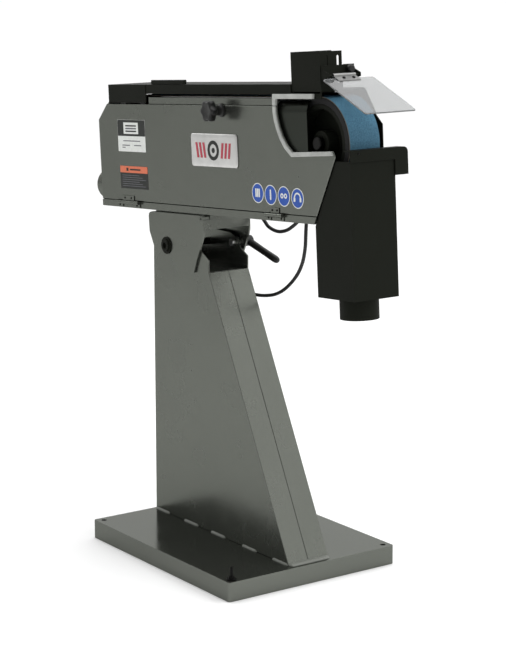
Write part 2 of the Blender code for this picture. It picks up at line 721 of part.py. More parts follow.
def lid():
    near = -0.06
    far = 0.0608
    wall = 0.0025
    origin = (0.0, LID_HINGE_Y, LID_HINGE_W)
    cover = part("lid", box(LID_U0, LID_U1, near, far, LID_LOW, LID_TOP), "black_paint", HEAD, origin)
    cut(cover, box(LID_U0 + wall, LID_U1 - wall, near + wall, far - wall, LID_LOW - 0.01, LID_TOP - wall))
    barrel = 0.0045
    pin = 0.0024
    first = 0.06
    last = 0.38
    knuckle = ring(circle(LID_HINGE_Y, LID_HINGE_W, barrel, 16), circle(LID_HINGE_Y, LID_HINGE_W, pin + RUN, 16),
                   first + GAP, last - GAP, "yz")
    join(cover, knuckle, box(first + GAP, last - GAP, far - 0.001, LID_HINGE_Y, LID_HINGE_W + 0.003,
                             LID_HINGE_W + 0.0044))
    part("lid_grip", prism(rounded(-0.0345, 0.098, LID_TOP + GAP, LID_TOP + 0.0098, 0.002, 3), -0.0585, -0.05),
         "black_paint", HEAD, origin)
    profile = [(0.0, first - 0.05), (barrel, first - 0.05), (barrel, first), (pin, first), (pin, last),
               (barrel, last), (barrel, last + 0.05), (0.0, last + 0.05)]
    rod_piece = part("lid_hinge", turned(LID_HINGE_Y, LID_HINGE_W, profile, "yz", 16), "black_paint")
    for start in (first - 0.05, last):
        join(rod_piece, box(start, start + 0.05, LID_HINGE_Y - 0.0015, LID_HINGE_Y + 0.001, 0.318, LID_HINGE_W),
             box(start, start + 0.05, FAR + GAP, LID_HINGE_Y, 0.318, 0.326))


# ---------------------------------------------------------------- wheels, belt and tension


def stadium(radius, steps=20):
    points = []
    for i in range(steps + 1):
        angle = math.pi * (-0.5 + i / steps)
        points.append((WHEEL_U + radius * math.cos(angle), WHEEL_W + radius * math.sin(angle)))
    for i in range(steps + 1):
        angle = math.pi * (0.5 + i / steps)
        points.append((DRIVE_U + radius * math.cos(angle), WHEEL_W + radius * math.sin(angle)))
    return points


def running_gear():
    part("abrasive_belt", ring(stadium(BELT_R), stadium(BELT_R - BELT_T), -BELT_Y, BELT_Y), "abrasive")
    tyre_in = 0.08
    contact = (WHEEL_U, 0.0, WHEEL_W)
    part("contact_tyre", ring(circle(WHEEL_U, WHEEL_W, WHEEL_R, 40), circle(WHEEL_U, WHEEL_W, tyre_in, 40),
                              -WHEEL_Y, WHEEL_Y), "rubber", HEAD, contact)
    rim = tyre_in - GAP
    bore = AXLE_R + RUN
    half = WHEEL_Y - 0.001
    hub = [(bore, -half), (0.026, -half), (0.026, -0.01), (0.07, -0.01), (0.07, -half), (rim, -half),
           (rim, half), (0.07, half), (0.07, 0.01), (0.026, 0.01), (0.026, half), (bore, half)]
    part("contact_hub", turned(WHEEL_U, WHEEL_W, hub), "aluminium", HEAD, contact)
    axle = [(0.0, -0.05), (0.012, -0.05), (0.014, -0.048), (0.014, -half - 0.0006), (AXLE_R, -half - 0.0006),
            (AXLE_R, half + 0.0006), (0.014, half + 0.0006), (0.014, 0.0427), (AXLE_R, 0.0427), (AXLE_R, 0.0497),
            (0.0, 0.0497)]
    part("contact_axle", turned(WHEEL_U, WHEEL_W, axle, count=24), "steel")
    drive = (DRIVE_U, 0.0, WHEEL_W)
    bore = SHAFT_R + RUN
    wheel = [(bore, -0.03), (0.026, -0.03), (0.026, -0.007), (0.082, -0.007), (0.082, -WHEEL_Y),
             (WHEEL_R, -WHEEL_Y), (WHEEL_R, WHEEL_Y), (0.082, WHEEL_Y), (0.082, 0.007), (0.026, 0.007),
             (0.026, 0.03), (bore, 0.03)]
    part("drive_wheel", turned(DRIVE_U, WHEEL_W, wheel, count=40), "aluminium", HEAD, drive)
    shaft = [(0.0, -0.038), (0.017, -0.038), (0.017, -0.0305), (SHAFT_R, -0.0305), (SHAFT_R, 0.079), (0.0, 0.079)]
    part("motor_shaft", turned(DRIVE_U, WHEEL_W, shaft, count=24), "steel", HEAD, drive)


def tension_gear():
    bar_w = 0.017
    bar = part("wheel_slide", box(0.33, 0.583, 0.043, 0.05, WHEEL_W - bar_w, WHEEL_W + bar_w), "steel")
    cut(bar, rod(WHEEL_U, WHEEL_W, AXLE_R + RUN, 0.03, 0.06, count=24))
    guide_w = 0.026
    guide = part("slide_guide", box(0.3, 0.46, 0.0395, FAR - SHEET - GAP, WHEEL_W - guide_w, WHEEL_W + guide_w),
                 "steel")
    cut(guide, box(0.28, 0.48, 0.0427, 0.0503, WHEEL_W - bar_w - GAP, WHEEL_W + bar_w + GAP))
    join(guide, rod(LEVER_U, WHEEL_W, 0.006, 0.014, 0.0405, count=16))
    tension_lever()


LEVER_U = 0.385
LEVER_REACH = 0.072
LEVER_ANGLE = math.radians(203.0)


def tension_lever():
    centre = Vector((LEVER_U, WHEEL_W))
    along = Vector((math.cos(LEVER_ANGLE), math.sin(LEVER_ANGLE)))
    across = Vector((-along.y, along.x))
    tip = centre + along * LEVER_REACH
    arm = [centre + across * 0.013, tip + across * 0.007, tip + along * 0.008, tip - across * 0.007,
           centre - across * 0.013, centre - along * 0.015]
    lever = part("tension_lever", prism([tuple(p) for p in arm], 0.026, 0.032), "steel", HEAD,
                 (LEVER_U, 0.0, WHEEL_W))
    cut(lever, rod(LEVER_U, WHEEL_W, 0.006 + RUN, 0.02, 0.04, count=16))
    join(lever, rod(tip.x, tip.y, 0.0065, -0.014, 0.029, count=16))


def platen():
    top = WHEEL_W + BELT_R - BELT_T - GAP
    far = FAR - SHEET - GAP
    section = [(-0.036, top - 0.007), (0.048, top - 0.007), (0.048, 0.286), (far, 0.286), (far, top), (-0.036, top)]
    part("platen", prism(section, -0.03, 0.44, "yz"), "steel")


# ---------------------------------------------------------------- motor and wiring


def motor():
    steps = [(0.0, MOTOR_Y0), (0.07, MOTOR_Y0), (0.078, MOTOR_Y0 + 0.006), (0.078, MOTOR_Y0 + 0.022),
             (MOTOR_R, MOTOR_Y0 + 0.026), (MOTOR_R, MOTOR_Y1), (0.0, MOTOR_Y1)]
    body = part("motor_body", turned(DRIVE_U, WHEEL_W, steps), "grey_paint")
    cut(body, rod(DRIVE_U, WHEEL_W, SHAFT_R + RUN, MOTOR_Y0 - 0.01, MOTOR_Y0 + 0.02, count=24))
    start = MOTOR_Y1 + GAP
    cup = [(0.085, start), (0.085, start + 0.055), (0.078, start + 0.062), (0.03, start + 0.062),
           (0.03, start + 0.06), (0.077, start + 0.06), (0.083, start + 0.054), (0.083, start)]
    part("fan_cover", turned(DRIVE_U, WHEEL_W, cup), "black_paint")
    side = DRIVE_U + MOTOR_R + 0.0005
    terminals = part("terminal_box", box(side, side + 0.05, 0.1, 0.18, 0.2, 0.28), "plastic")
    join(terminals, rod(TERMINAL_U, TERMINAL_Y, GLAND_R, 0.186, 0.205, "xy", 18))


TERMINAL_U = -0.033
TERMINAL_Y = 0.13
BOX_U0 = 0.288
BOX_U1 = 0.362
BOX_W0 = 0.1
BOX_W1 = 0.165
BOX_Y1 = 0.112
MOTOR_LEAD_U = 0.311
SUPPLY_LEAD_U = 0.3355
LEAD_Y = 0.087


def junction_box():
    part("junction_box", prism(rounded(BOX_U0, BOX_U1, BOX_W0, BOX_W1, 0.004, 3), FAR + 0.0005, BOX_Y1), "plastic")
    for name, u in (("gland_motor_lead", MOTOR_LEAD_U), ("gland_supply_lead", SUPPLY_LEAD_U)):
        gland(name, u, LEAD_Y, "xy", BOX_W0, -1.0, HEAD)


def leads():
    exit_w = BOX_W0 - 0.0188
    lead("motor_lead", [(TERMINAL_U, TERMINAL_Y, 0.1855), (TERMINAL_U, 0.13, 0.178), (TERMINAL_U, 0.13, 0.165),
                        (-0.015, 0.126, 0.135), (0.03, 0.118, 0.105), (0.09, 0.106, 0.084), (0.145, 0.092, 0.069),
                        (0.179, 0.084, 0.0545), (0.1955, 0.083, 0.0418), (0.2153, 0.083, 0.0345), (0.238, 0.083, 0.0318),
                        (0.2654, 0.083, 0.0363), (0.2881, 0.0835, 0.0465), (0.3025, 0.0855, 0.0565),
                        (MOTOR_LEAD_U, LEAD_Y, exit_w - 0.013), (MOTOR_LEAD_U, LEAD_Y, exit_w - 0.006),
                        (MOTOR_LEAD_U, LEAD_Y, exit_w)], HEAD)
    box_x = SWITCH_X1 + 0.0186
    stops = [(0.1265, 0.084, 0.74), (0.1271, 0.083, 0.7251), (0.1251, 0.083, 0.6986), (0.1156, 0.083, 0.6654),
             (0.0941, 0.083, 0.6334), (0.0582, 0.083, 0.6025), (0.0226, 0.083, 0.5834), (-0.014, 0.083, 0.5735),
             (-0.0558, 0.083, 0.5685), (-0.1, 0.0838, 0.57), (-0.126, 0.0843, 0.5738),
             (box_x + 0.008, 0.0845, 0.575), (box_x, 0.0845, 0.575)]
    start = [(SUPPLY_LEAD_U, LEAD_Y, exit_w), (SUPPLY_LEAD_U, LEAD_Y, exit_w - 0.008)]
    lead("supply_lead", start + [from_stand(*stop) for stop in stops], HEAD)


# ---------------------------------------------------------------- chute, ports, guard and tool rest


def chute():
    near_face = [(0.5562, 0.0745), (0.6306, 0.2071), (CHUTE_FRONT, 0.2071), (CHUTE_FRONT, CHUTE_BOTTOM),
                 (0.5562, CHUTE_BOTTOM)]
    duct = part("chute", prism(near_face, -CHUTE_Y + 0.001, CHUTE_Y), "black_paint")
    inner = [(0.5562 + CHUTE_T, CHUTE_BOTTOM + CHUTE_T), (CHUTE_FRONT - CHUTE_T, CHUTE_BOTTOM + CHUTE_T),
             (CHUTE_FRONT - CHUTE_T, 0.25), (0.58, 0.25), (0.5, 0.11), (0.5562 + CHUTE_T, 0.0765)]
    cut(duct, prism(inner, -CHUTE_Y + 0.001 + CHUTE_T, CHUTE_Y - CHUTE_T))
    cut(duct, rod(OUTLET_U, 0.0, OUTLET_R - 0.0025, CHUTE_BOTTOM - 0.01, CHUTE_BOTTOM + 0.01, "xy"))
    part("outlet_pipe", ring(circle(OUTLET_U, 0.0, OUTLET_R), circle(OUTLET_U, 0.0, OUTLET_R - 0.0025),
                             OUTLET_W, CHUTE_BOTTOM - GAP, "xy"), "black_paint")


def dust_port():
    wall = REAR - GAP
    profile = [(PORT_BORE, wall), (0.0455, wall), (0.0455, wall - 0.003), (PORT_R, wall - 0.003),
               (PORT_R, PORT_END), (PORT_BORE, PORT_END)]
    part("dust_port", turned(PORT_Y, PORT_W, profile, "yz"), "grey_paint")


def guard_plate():
    outline = [(0.5, 0.2076), (0.6465, 0.2076), (0.6465, 0.2752), (0.6272, 0.2933), (0.5925, 0.3455), (0.5, 0.3455),
               (0.5, 0.3385), (0.445, 0.3385), (0.445, 0.31), (0.5, 0.31)]
    part("guard_plate", prism(outline, 0.0515, 0.054), "black_paint")


def tool_rest():
    top = 0.2295
    low = 0.2052
    front = CHUTE_FRONT + GAP + 0.0001
    rest = part("tool_rest", prism([(-0.0575, low), (0.0555, low), (0.0555, 0.1737), (0.0895, 0.1737), (0.0895, 0.2185),
                                    (0.0886, 0.2233), (0.0861, 0.2269), (0.0823, 0.2289), (0.0775, top),
                                    (-0.0575, top)], front, front + SHEET, "yz"), "black_paint")
    join(rest, box(0.6572, front + 0.001, -0.0575, 0.0775, top - SHEET, top))


# ---------------------------------------------------------------- visor


def visor_bracket():
    wall = 0.0025
    near = -0.0575
    floor = 0.3437
    bracket = part("visor_bracket", box(BRACKET_U0, BRACKET_U1, near, 0.051, 0.33, BRACKET_TOP), "black_paint")
    cut(bracket, box(BRACKET_U0 + wall, BRACKET_U1 - wall, near + wall, 0.06, floor + 0.003, 0.5))
    cut(bracket, box(BRACKET_U0 + wall, BRACKET_U1 + 0.01, BRACKET_FAR, 0.06, floor + 0.003, 0.5))
    cut(bracket, box(BRACKET_U0 - 0.01, BRACKET_U0 + 0.01, 0.045, 0.06, floor + 0.003, 0.5))
    cut(bracket, box(BRACKET_U0 + wall, BRACKET_U1 + 0.01, near + wall, 0.06, 0.32, floor))
    cut(bracket, box(BRACKET_U0 - 0.01, BRACKET_U0 + 0.01, near + wall, 0.06, 0.32, 0.335))
    cut(bracket, box(BRACKET_U0 + 0.002, BRACKET_U1 - 0.002, near - 0.01, near + wall + 0.001, 0.3409, 0.3445))
    half = 0.0033
    for y in SLOT_YS:
        cut(bracket, prism(rounded(y - half, y + half, 0.358, 0.416, 0.0032, 3), BRACKET_U1 - 0.01,
                           BRACKET_U1 + 0.01, "yz"))


SLOT_YS = (-0.041, -0.012)
BOLT_W = 0.38


def visor_carrier():
    face = BRACKET_U1 + GAP
    back = BRACKET_U1 - 0.0025 - GAP
    plate = part("visor_carrier", box(face, face + 0.0025, -0.0562, 0.0262, 0.366, 0.396), "black_paint")
    arm = [(face + 0.001, 0.3675), (face + 0.001, 0.389), (VISOR_AXIS_U + 0.004, VISOR_AXIS_W + 0.004),
           (VISOR_AXIS_U + 0.004, VISOR_AXIS_W - 0.004)]
    join(plate, box(face, face + 0.0025, -0.0008, 0.0262, 0.385, 0.397))
    join(plate, prism(arm, -0.0562, -0.0532), prism(arm, 0.0232, 0.0262),
         rod(VISOR_AXIS_U, VISOR_AXIS_W, 0.002, -0.0545, 0.0245, count=12))
    for y in SLOT_YS:
        profile = [(0.0, face + 0.001), (0.0028, face + 0.001), (0.0028, back), (0.006, back), (0.006, back - 0.004),
                   (0.0, back - 0.004)]
        join(plate, turned(y, BOLT_W, profile, "yz", 14))


def visor_clamp_knob():
    knob_y = 0.0112
    knob_w = 0.387
    start = BRACKET_U1 + 2 * GAP + 0.0025
    profile = [(0.0, start), (0.005, start), (0.005, start + 0.002), (0.0086, start + 0.004), (0.0086, start + 0.011),
               (0.0065, start + 0.0135), (0.0, start + 0.0135)]
    part("visor_clamp_knob", turned(knob_y, knob_w, profile, "yz", 20), "plastic", HEAD, (start, knob_y, knob_w))


def visor():
    origin = (VISOR_AXIS_U, 0.0, VISOR_AXIS_W)
    top = Vector(VISOR_TOP)
    end = Vector(VISOR_END)
    along = (end - top).normalized()
    normal = Vector((-along.y, along.x))
    thick = 0.003
    sheet = [top, end, end - normal * thick, top - normal * thick]
    part("visor_panel", prism([tuple(p) for p in sheet], -0.0735, 0.0535), "acrylic", HEAD, origin)
    lift = normal * GAP
    skin = normal * 0.0016
    start = top - along * 0.0072
    stop = top + along * 0.0128
    plate = [start + lift, stop + lift, stop + lift + skin, start + lift + skin]
    leaf = part("visor_hinge_leaf", prism([tuple(p) for p in plate], -0.042, 0.0135), "steel", HEAD, origin)
    barrel = 0.0042
    join(leaf, ring(circle(VISOR_AXIS_U, VISOR_AXIS_W, barrel, 16), circle(VISOR_AXIS_U, VISOR_AXIS_W, 0.0023, 16),
                    -0.042, 0.0135))


# ---------------------------------------------------------------- build


def build():
    base_pan()
    levelling_bolt()
    stand_halves()
    stand_top_web()
    pivot_hardware()
    lock_hardware()
    switch_gear()
    gland("gland_switch_lead", 0.0845, 0.575, "yz", SWITCH_X1, 1.0, ROOT)
    gland("gland_mains", (SWITCH_X0 + SWITCH_X1) / 2, 0.083, "xy", SWITCH_Z0, -1.0, ROOT)
    head_shell()
    head_bracket()
    top_rail()
    rear_cap()
    window_trims()
    belt_shield()
    door()
    door_hinge("rear", -0.2, -0.102)
    door_hinge("front", 0.394, 0.454)
    door_knob()
    lid()
    running_gear()
    tension_gear()
    platen()
    motor()
    junction_box()
    leads()
    chute()
    dust_port()
    guard_plate()
    tool_rest()
    visor_bracket()
    visor_carrier()
    visor_clamp_knob()
    visor()


build()
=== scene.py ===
"""Looks of the belt grinder: camera, light, materials, leads and fine pieces.

Sizes are in metres. A piece is drawn in the stand's frame (x, y, z from the base centre) or in the head's
own frame, from the tilt pivot (u along the head towards the contact wheel, y across it, w square to both),
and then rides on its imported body.
"""

import bpy
import bmesh
import math
from mathutils import Matrix, Vector


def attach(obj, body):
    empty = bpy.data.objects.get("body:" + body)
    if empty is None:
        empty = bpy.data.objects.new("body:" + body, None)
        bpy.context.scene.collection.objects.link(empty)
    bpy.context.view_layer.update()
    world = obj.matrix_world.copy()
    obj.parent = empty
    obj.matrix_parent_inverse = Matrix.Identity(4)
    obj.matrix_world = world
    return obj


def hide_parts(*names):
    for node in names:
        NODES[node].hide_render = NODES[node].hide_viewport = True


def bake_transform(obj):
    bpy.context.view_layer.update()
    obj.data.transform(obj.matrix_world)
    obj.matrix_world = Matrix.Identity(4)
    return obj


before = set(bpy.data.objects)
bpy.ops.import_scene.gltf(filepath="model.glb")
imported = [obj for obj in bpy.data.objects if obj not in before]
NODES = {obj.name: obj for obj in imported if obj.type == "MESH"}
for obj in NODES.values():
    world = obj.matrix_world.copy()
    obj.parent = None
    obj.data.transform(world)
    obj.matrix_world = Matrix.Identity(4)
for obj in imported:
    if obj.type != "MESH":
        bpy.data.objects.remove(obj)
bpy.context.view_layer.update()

# ---------------------------------------------------------------- frames and shared sizes
CENTRE_X = -0.00286            # object centre, from the base centre
CENTRE_Y = 0.03802
PIVOT_X = -0.2042              # tilt pivot of the head, from the base centre
PIVOT_Z = 0.6745
TILT = math.radians(4.07)      # rest tilt of the head, wheel end up
STAND = Matrix.Translation((-CENTRE_X, -CENTRE_Y, 0.0))
HEAD = STAND @ Matrix.Translation((PIVOT_X, 0.0, PIVOT_Z)) @ Matrix.Rotation(-TILT, 4, "Y")

NEAR = -0.0595                 # outer face of the door
BASE_TOP = 0.0424
STAND_Y = 0.0535               # half the stand's width
STAND_FOOT = 0.2542            # where the sloping front meets the base
WHEEL_U = 0.5602               # axis of the contact wheel
WHEEL_W = 0.2399               # both wheels' height above the pivot
DRIVE_U = -0.1468              # axis of the drive wheel and the motor
BELT_R = 0.0944                # outside of the belt where it turns
BELT_T = 0.0015
BELT_Y = 0.038                 # half the belt's width
KNOB_U = 0.242
KNOB_W = 0.305
MOTOR_R = 0.088
MOTOR_Y0 = 0.06                # the motor frame's two ends
MOTOR_Y1 = 0.235
LEAD_R = 0.004
VISOR_T = 0.003
VISOR_NEAR = -0.0735
VISOR_FAR = 0.0535
HINGE_LEAVES = ((-0.2, -0.102), (0.394, 0.454))    # where the door's two hinge leaves start and stop
WELD_ANGLES = (0.0, 0.4, 0.8, 1.2, math.pi / 2)
CREASE = 34.0                  # edges sharper than this many degrees stay sharp

# ---------------------------------------------------------------- camera and light values
CAMERA_AT = (3.54506, -2.52382, 1.4197)
CAMERA_AZIMUTH = 54.574        # degrees from -Y towards +X
CAMERA_ELEVATION = 11.991
CAMERA_LENS = 108.44           # millimetres, on a sensor 36 mm wide
SKY_SPAN = (0.42, 1.68)        # strength of the sky on the door's side and on the motor's side
SKY_LEAN = -0.1
HORIZON_DIM = 0.68             # the sky's strength at the horizon, as a share of its own
HORIZON_TOP = 0.17             # how high the dimmer band reaches, as the sine of its elevation
FLOOR_HALF = 60.0
FLOOR_DROP = 0.0005            # the floor lies this far under the base


# ---------------------------------------------------------------- camera, light and floor

def add(name, data):
    item = bpy.data.objects.new(name, data)
    bpy.context.scene.collection.objects.link(item)
    return item


def make_camera():
    """A long lens on the wheel end and the door's side, a little above the machine."""
    azimuth = math.radians(CAMERA_AZIMUTH)
    elevation = math.radians(CAMERA_ELEVATION)
    back = Vector((math.sin(azimuth) * math.cos(elevation), -math.cos(azimuth) * math.cos(elevation),
                   math.sin(elevation)))
    data = bpy.data.cameras.new("camera")
    data.sensor_width = 36.0
    data.lens = CAMERA_LENS
    camera = add("camera", data)
    camera.location = CAMERA_AT
    camera.rotation_mode = "QUATERNION"
    camera.rotation_quaternion = (-back).to_track_quat("-Z", "Y")
    bpy.context.scene.camera = camera


def area_light(name, location, target, size, power):
    data = bpy.data.lights.new(name, "AREA")
    data.shape = "RECTANGLE"
    data.size, data.size_y = size
    data.energy = power
    lamp = add(name, data)
    lamp.location = location
    lamp.rotation_mode = "QUATERNION"
    lamp.rotation_quaternion = (Vector(target) - Vector(location)).to_track_quat("-Z", "Y")


def make_light():
    """Two soft lamps overhead and a weak one behind, under a white sky."""
    area_light("key", (1.7, 1.3, 3.9), (0.0, 0.0, 0.6), (2.4, 2.4), 44.0)
    area_light("top", (-0.6, -0.4, 3.6), (0.0, 0.0, 0.5), (3.0, 2.0), 30.0)
    area_light("rim", (-2.8, -0.8, 2.7), (0.1, 0.0, 0.95), (0.8, 0.8), 10.0)
    make_sky()
    bpy.context.scene.view_settings.view_transform = "Standard"


def sky_span(tree, value, source, target):
    """Maps a value between two spans, clamped at both ends."""
    made = tree.nodes.new("ShaderNodeMapRange")
    for key, number in zip(("From Min", "From Max", "To Min", "To Max"), (*source, *target)):
        made.inputs[key].default_value = number
    tree.links.new(value, made.inputs["Value"])
    return made.outputs["Result"]


def make_sky():
    """A white sky, brighter on the motor's side and dimmer along the horizon."""
    world = bpy.data.worlds.new("studio")
    bpy.context.scene.world = world
    world.use_nodes = True
    tree = world.node_tree
    coord = tree.nodes.new("ShaderNodeTexCoord")
    split = tree.nodes.new("ShaderNodeSeparateXYZ")
    tree.links.new(coord.outputs["Generated"], split.inputs[0])
    lean = tree.nodes.new("ShaderNodeMath")
    lean.operation = "MULTIPLY_ADD"
    lean.inputs[1].default_value = SKY_LEAN
    tree.links.new(split.outputs["X"], lean.inputs[0])
    tree.links.new(split.outputs["Y"], lean.inputs[2])
    dimmed = tree.nodes.new("ShaderNodeMath")
    dimmed.operation = "MULTIPLY"
    tree.links.new(sky_span(tree, lean.outputs["Value"], (-1.0, 1.0), SKY_SPAN), dimmed.inputs[0])
    height = sky_span(tree, split.outputs["Z"], (0.0, HORIZON_TOP), (HORIZON_DIM, 1.0))
    tree.links.new(height, dimmed.inputs[1])
    shine = tree.nodes["Background"]
    shine.inputs["Color"].default_value = (1.0, 1.0, 1.0, 1.0)
    tree.links.new(dimmed.outputs["Value"], shine.inputs["Strength"])


def make_floor():
    """A pale paper floor, wide enough to fill the view."""
    bm = bmesh.new()
    bmesh.ops.create_grid(bm, x_segments=1, y_segments=1, size=FLOOR_HALF)
    mesh = bpy.data.meshes.new("floor")
    bm.to_mesh(mesh)
    bm.free()
    g = Graph("floor_paper")
    g.colour(g.blend(g.noise(1.5, 2), (0.95, 0.95, 0.95), (0.965, 0.965, 0.965)))
    g.set(Roughness=0.9)
    mesh.materials.append(g.material)
    floor = add("floor", mesh)
    floor.location.z = -FLOOR_DROP


# ---------------------------------------------------------------- material graphs

class Graph:
    """A node material on object coordinates, in metres."""

    def __init__(self, name):
        self.material = bpy.data.materials.new(name)
        self.material.use_nodes = True
        self.tree = self.material.node_tree
        self.shader = self.tree.nodes["Principled BSDF"]
        self.coords = self.tree.nodes.new("ShaderNodeTexCoord").outputs["Object"]

    def feed(self, socket, value):
        if isinstance(value, bpy.types.NodeSocket):
            self.tree.links.new(value, socket)
        elif isinstance(value, tuple) and len(value) == 3 and socket.type == "RGBA":
            socket.default_value = (*value, 1.0)
        else:
            socket.default_value = value

    def node(self, kind, output, props=None, **inputs):
        made = self.tree.nodes.new("ShaderNode" + kind)
        for key, value in (props or {}).items():
            setattr(made, key, value)
        for key, value in inputs.items():
            self.feed(made.inputs[key.replace("_", " ")], value)
        return made.outputs[output]

    def stretched(self, scale):
        return self.node("Mapping", "Vector", Vector=self.coords, Scale=scale)

    def noise(self, scale, detail=3.0, rough=0.5, stretch=None):
        place = self.stretched(stretch) if stretch else self.coords
        return self.node("TexNoise", 0, Vector=place, Scale=scale, Detail=detail, Roughness=rough)

    def cells(self, scale, feature="F1", stretch=None):
        place = self.stretched(stretch) if stretch else self.coords
        return self.node("TexVoronoi", "Distance", {"feature": feature}, Vector=place, Scale=scale)

    def span(self, value, low, high, start=0.0, end=1.0):
        made = self.tree.nodes.new("ShaderNodeMapRange")
        self.feed(made.inputs["Value"], value)
        for key, number in (("From Min", low), ("From Max", high), ("To Min", start), ("To Max", end)):
            made.inputs[key].default_value = number
        return made.outputs["Result"]

    def blend(self, factor, one, two):
        made = self.tree.nodes.new("ShaderNodeMix")
        made.data_type = "RGBA"
        self.feed(made.inputs["Factor"], factor)
        self.feed(made.inputs[6], one)
        self.feed(made.inputs[7], two)
        return made.outputs[2]

    def maths(self, operation, one, two=0.0):
        made = self.tree.nodes.new("ShaderNodeMath")
        made.operation = operation
        self.feed(made.inputs[0], one)
        self.feed(made.inputs[1], two)
        return made.outputs[0]

    def bump(self, height, distance, strength=1.0, below=None):
        inputs = {"Height": height, "Distance": distance, "Strength": strength}
        if below is not None:
            inputs["Normal"] = below
        return self.node("Bump", "Normal", **inputs)

    def colour(self, value):
        self.feed(self.shader.inputs["Base Color"], value)

    def rough(self, value):
        self.feed(self.shader.inputs["Roughness"], value)

    def normal(self, value):
        self.feed(self.shader.inputs["Normal"], value)

    def set(self, **values):
        for key, value in values.items():
            self.shader.inputs[key.replace("_", " ")].default_value = value


def scaled(colour, factor):
    return tuple(part * factor for part in colour)


def sprayed(name, base, rough, fleck=0.10, texture=0.00003, flake=0.0, gloss=0.5, edge=1.0):
    """Sprayed paint: faint cloudiness, fine flecks and an orange-peel skin.

    fleck is how far the flecks stand out, flake the paint's share of metal pigment, and edge its tint seen
    at a low angle.
    """
    g = Graph(name)
    cloud = g.span(g.noise(5.0, 3), 0.3, 0.7)
    flecks = g.span(g.noise(1500.0, 2), 0.35, 0.65)
    tone = g.blend(cloud, scaled(base, 0.95), scaled(base, 1.05))
    bright = g.blend(0.5 + 2.5 * fleck, tone, scaled(base, 1.0 + 4.0 * fleck))
    g.colour(g.blend(flecks, tone, bright))
    g.rough(g.span(g.noise(9.0, 4), 0.3, 0.7, rough - 0.035, rough + 0.045))
    peel = g.bump(g.noise(420.0, 2), texture, 0.6)
    g.normal(g.bump(flecks, texture * 0.6, 0.5, peel))
    g.set(Metallic=flake, Specular_IOR_Level=gloss, Specular_Tint=(edge, edge, edge, 1.0))
    return g.material


def metal(name, base, rough, stretch=(1.0, 1.0, 1.0), scale=900.0, depth=0.00002):
    """Machined or plated metal with a directional finish."""
    g = Graph(name)
    lines = g.noise(scale, 4, 0.6, stretch)
    stain = g.span(g.noise(30.0, 4), 0.35, 0.7)
    g.colour(g.blend(stain, scaled(base, 0.86), base))
    g.rough(g.span(lines, 0.3, 0.7, rough - 0.07, rough + 0.09))
    g.set(Metallic=1.0)
    g.normal(g.bump(lines, depth, 0.5))
    return g.material


def moulded(name, base, rough, scale=700.0, depth=0.00004, gloss=0.5):
    """Moulded plastic or rubber with a fine leathery grain."""
    g = Graph(name)
    grain = g.cells(scale, "SMOOTH_F1")
    tone = g.span(g.noise(25.0, 3), 0.3, 0.7)
    g.colour(g.blend(tone, scaled(base, 0.85), scaled(base, 1.2)))
    g.rough(g.span(grain, 0.0, 0.7, rough + 0.05, rough - 0.05))
    g.normal(g.bump(grain, depth, 0.6))
    g.set(Specular_IOR_Level=gloss)
    return g.material


def printed(name, base, rough=0.42, gloss=0.3):
    """Ink or film on a label."""
    g = Graph(name)
    tone = g.span(g.noise(160.0, 3), 0.3, 0.7)
    g.colour(g.blend(tone, scaled(base, 0.94), scaled(base, 1.05)))
    g.rough(g.span(g.noise(60.0, 3), 0.3, 0.7, rough - 0.05, rough + 0.06))
    g.normal(g.bump(g.noise(900.0, 2), 0.00001, 0.5))
    g.set(Specular_IOR_Level=gloss)
    return g.material


def grit():
    """Blue abrasive grain in resin, clumped, with painted shade that darkens the belt towards its bottom."""
    g = Graph("blue_grain")
    grains = g.cells(900.0)
    clumps = g.span(g.noise(420.0, 4, 0.65), 0.34, 0.66)
    patches = g.span(g.noise(45.0, 3), 0.3, 0.7)
    deep = (0.061, 0.182, 0.300)
    bright = (0.130, 0.345, 0.500)
    deep_patch = g.blend(patches, deep, scaled(deep, 1.16))
    bright_patch = g.blend(patches, bright, scaled(bright, 1.16))
    unshaded = g.blend(clumps, deep_patch, bright_patch)
    # painted shade: the grain colours darkened for the belt's lower part
    painted_shade = g.blend(clumps, scaled(deep, 0.56), scaled(bright, 0.56))
    height = g.node("SeparateXYZ", "Z", Vector=g.coords)
    # the belt's lower part takes the painted shade, its upper part the plain grain colours
    g.colour(g.blend(g.span(height, 0.985, 1.045), painted_shade, unshaded))
    g.rough(g.span(grains, 0.0, 0.6, 0.62, 0.9))
    rise = g.bump(grains, 0.0005, 0.7)
    g.normal(g.bump(clumps, 0.0006, 0.55, rise))
    g.set(Specular_IOR_Level=0.35)
    return g.material


def cloth_back():
    """Woven backing of the belt."""
    g = Graph("belt_backing")
    threads = [g.node("TexWave", "Fac", {"wave_type": "BANDS", "bands_direction": axis},
                      Vector=g.coords, Scale=420.0) for axis in ("Y", "X")]
    weave = g.maths("MULTIPLY", *threads)
    g.colour(g.blend(g.noise(120.0, 3), (0.085, 0.075, 0.06), (0.15, 0.135, 0.11)))
    g.rough(g.span(weave, 0.0, 1.0, 0.85, 0.7))
    g.normal(g.bump(weave, 0.00015, 0.6))
    return g.material


def clear_sheet():
    """Clear acrylic with light haze and handling marks."""
    g = Graph("clear_acrylic")
    haze = g.span(g.noise(14.0, 5, 0.6), 0.35, 0.75, 0.02, 0.10)
    marks = g.span(g.noise(60.0, 6, 0.7, (1.0, 9.0, 1.0)), 0.62, 0.72, 0.0, 0.06)
    g.rough(g.maths("ADD", haze, marks))
    g.colour(g.blend(g.noise(8.0, 2), (0.44, 0.45, 0.45), (0.48, 0.49, 0.49)))
    g.set(Transmission_Weight=0.84, IOR=1.49)
    return g.material


GREY = (0.091, 0.096, 0.085)
# the grey paint made lighter: painted light, for the lit top of the base and the weld beads
GREY_WITH_PAINTED_LIGHT = scaled(GREY, 1.23)
BLACK = (0.0098, 0.0108, 0.0083)


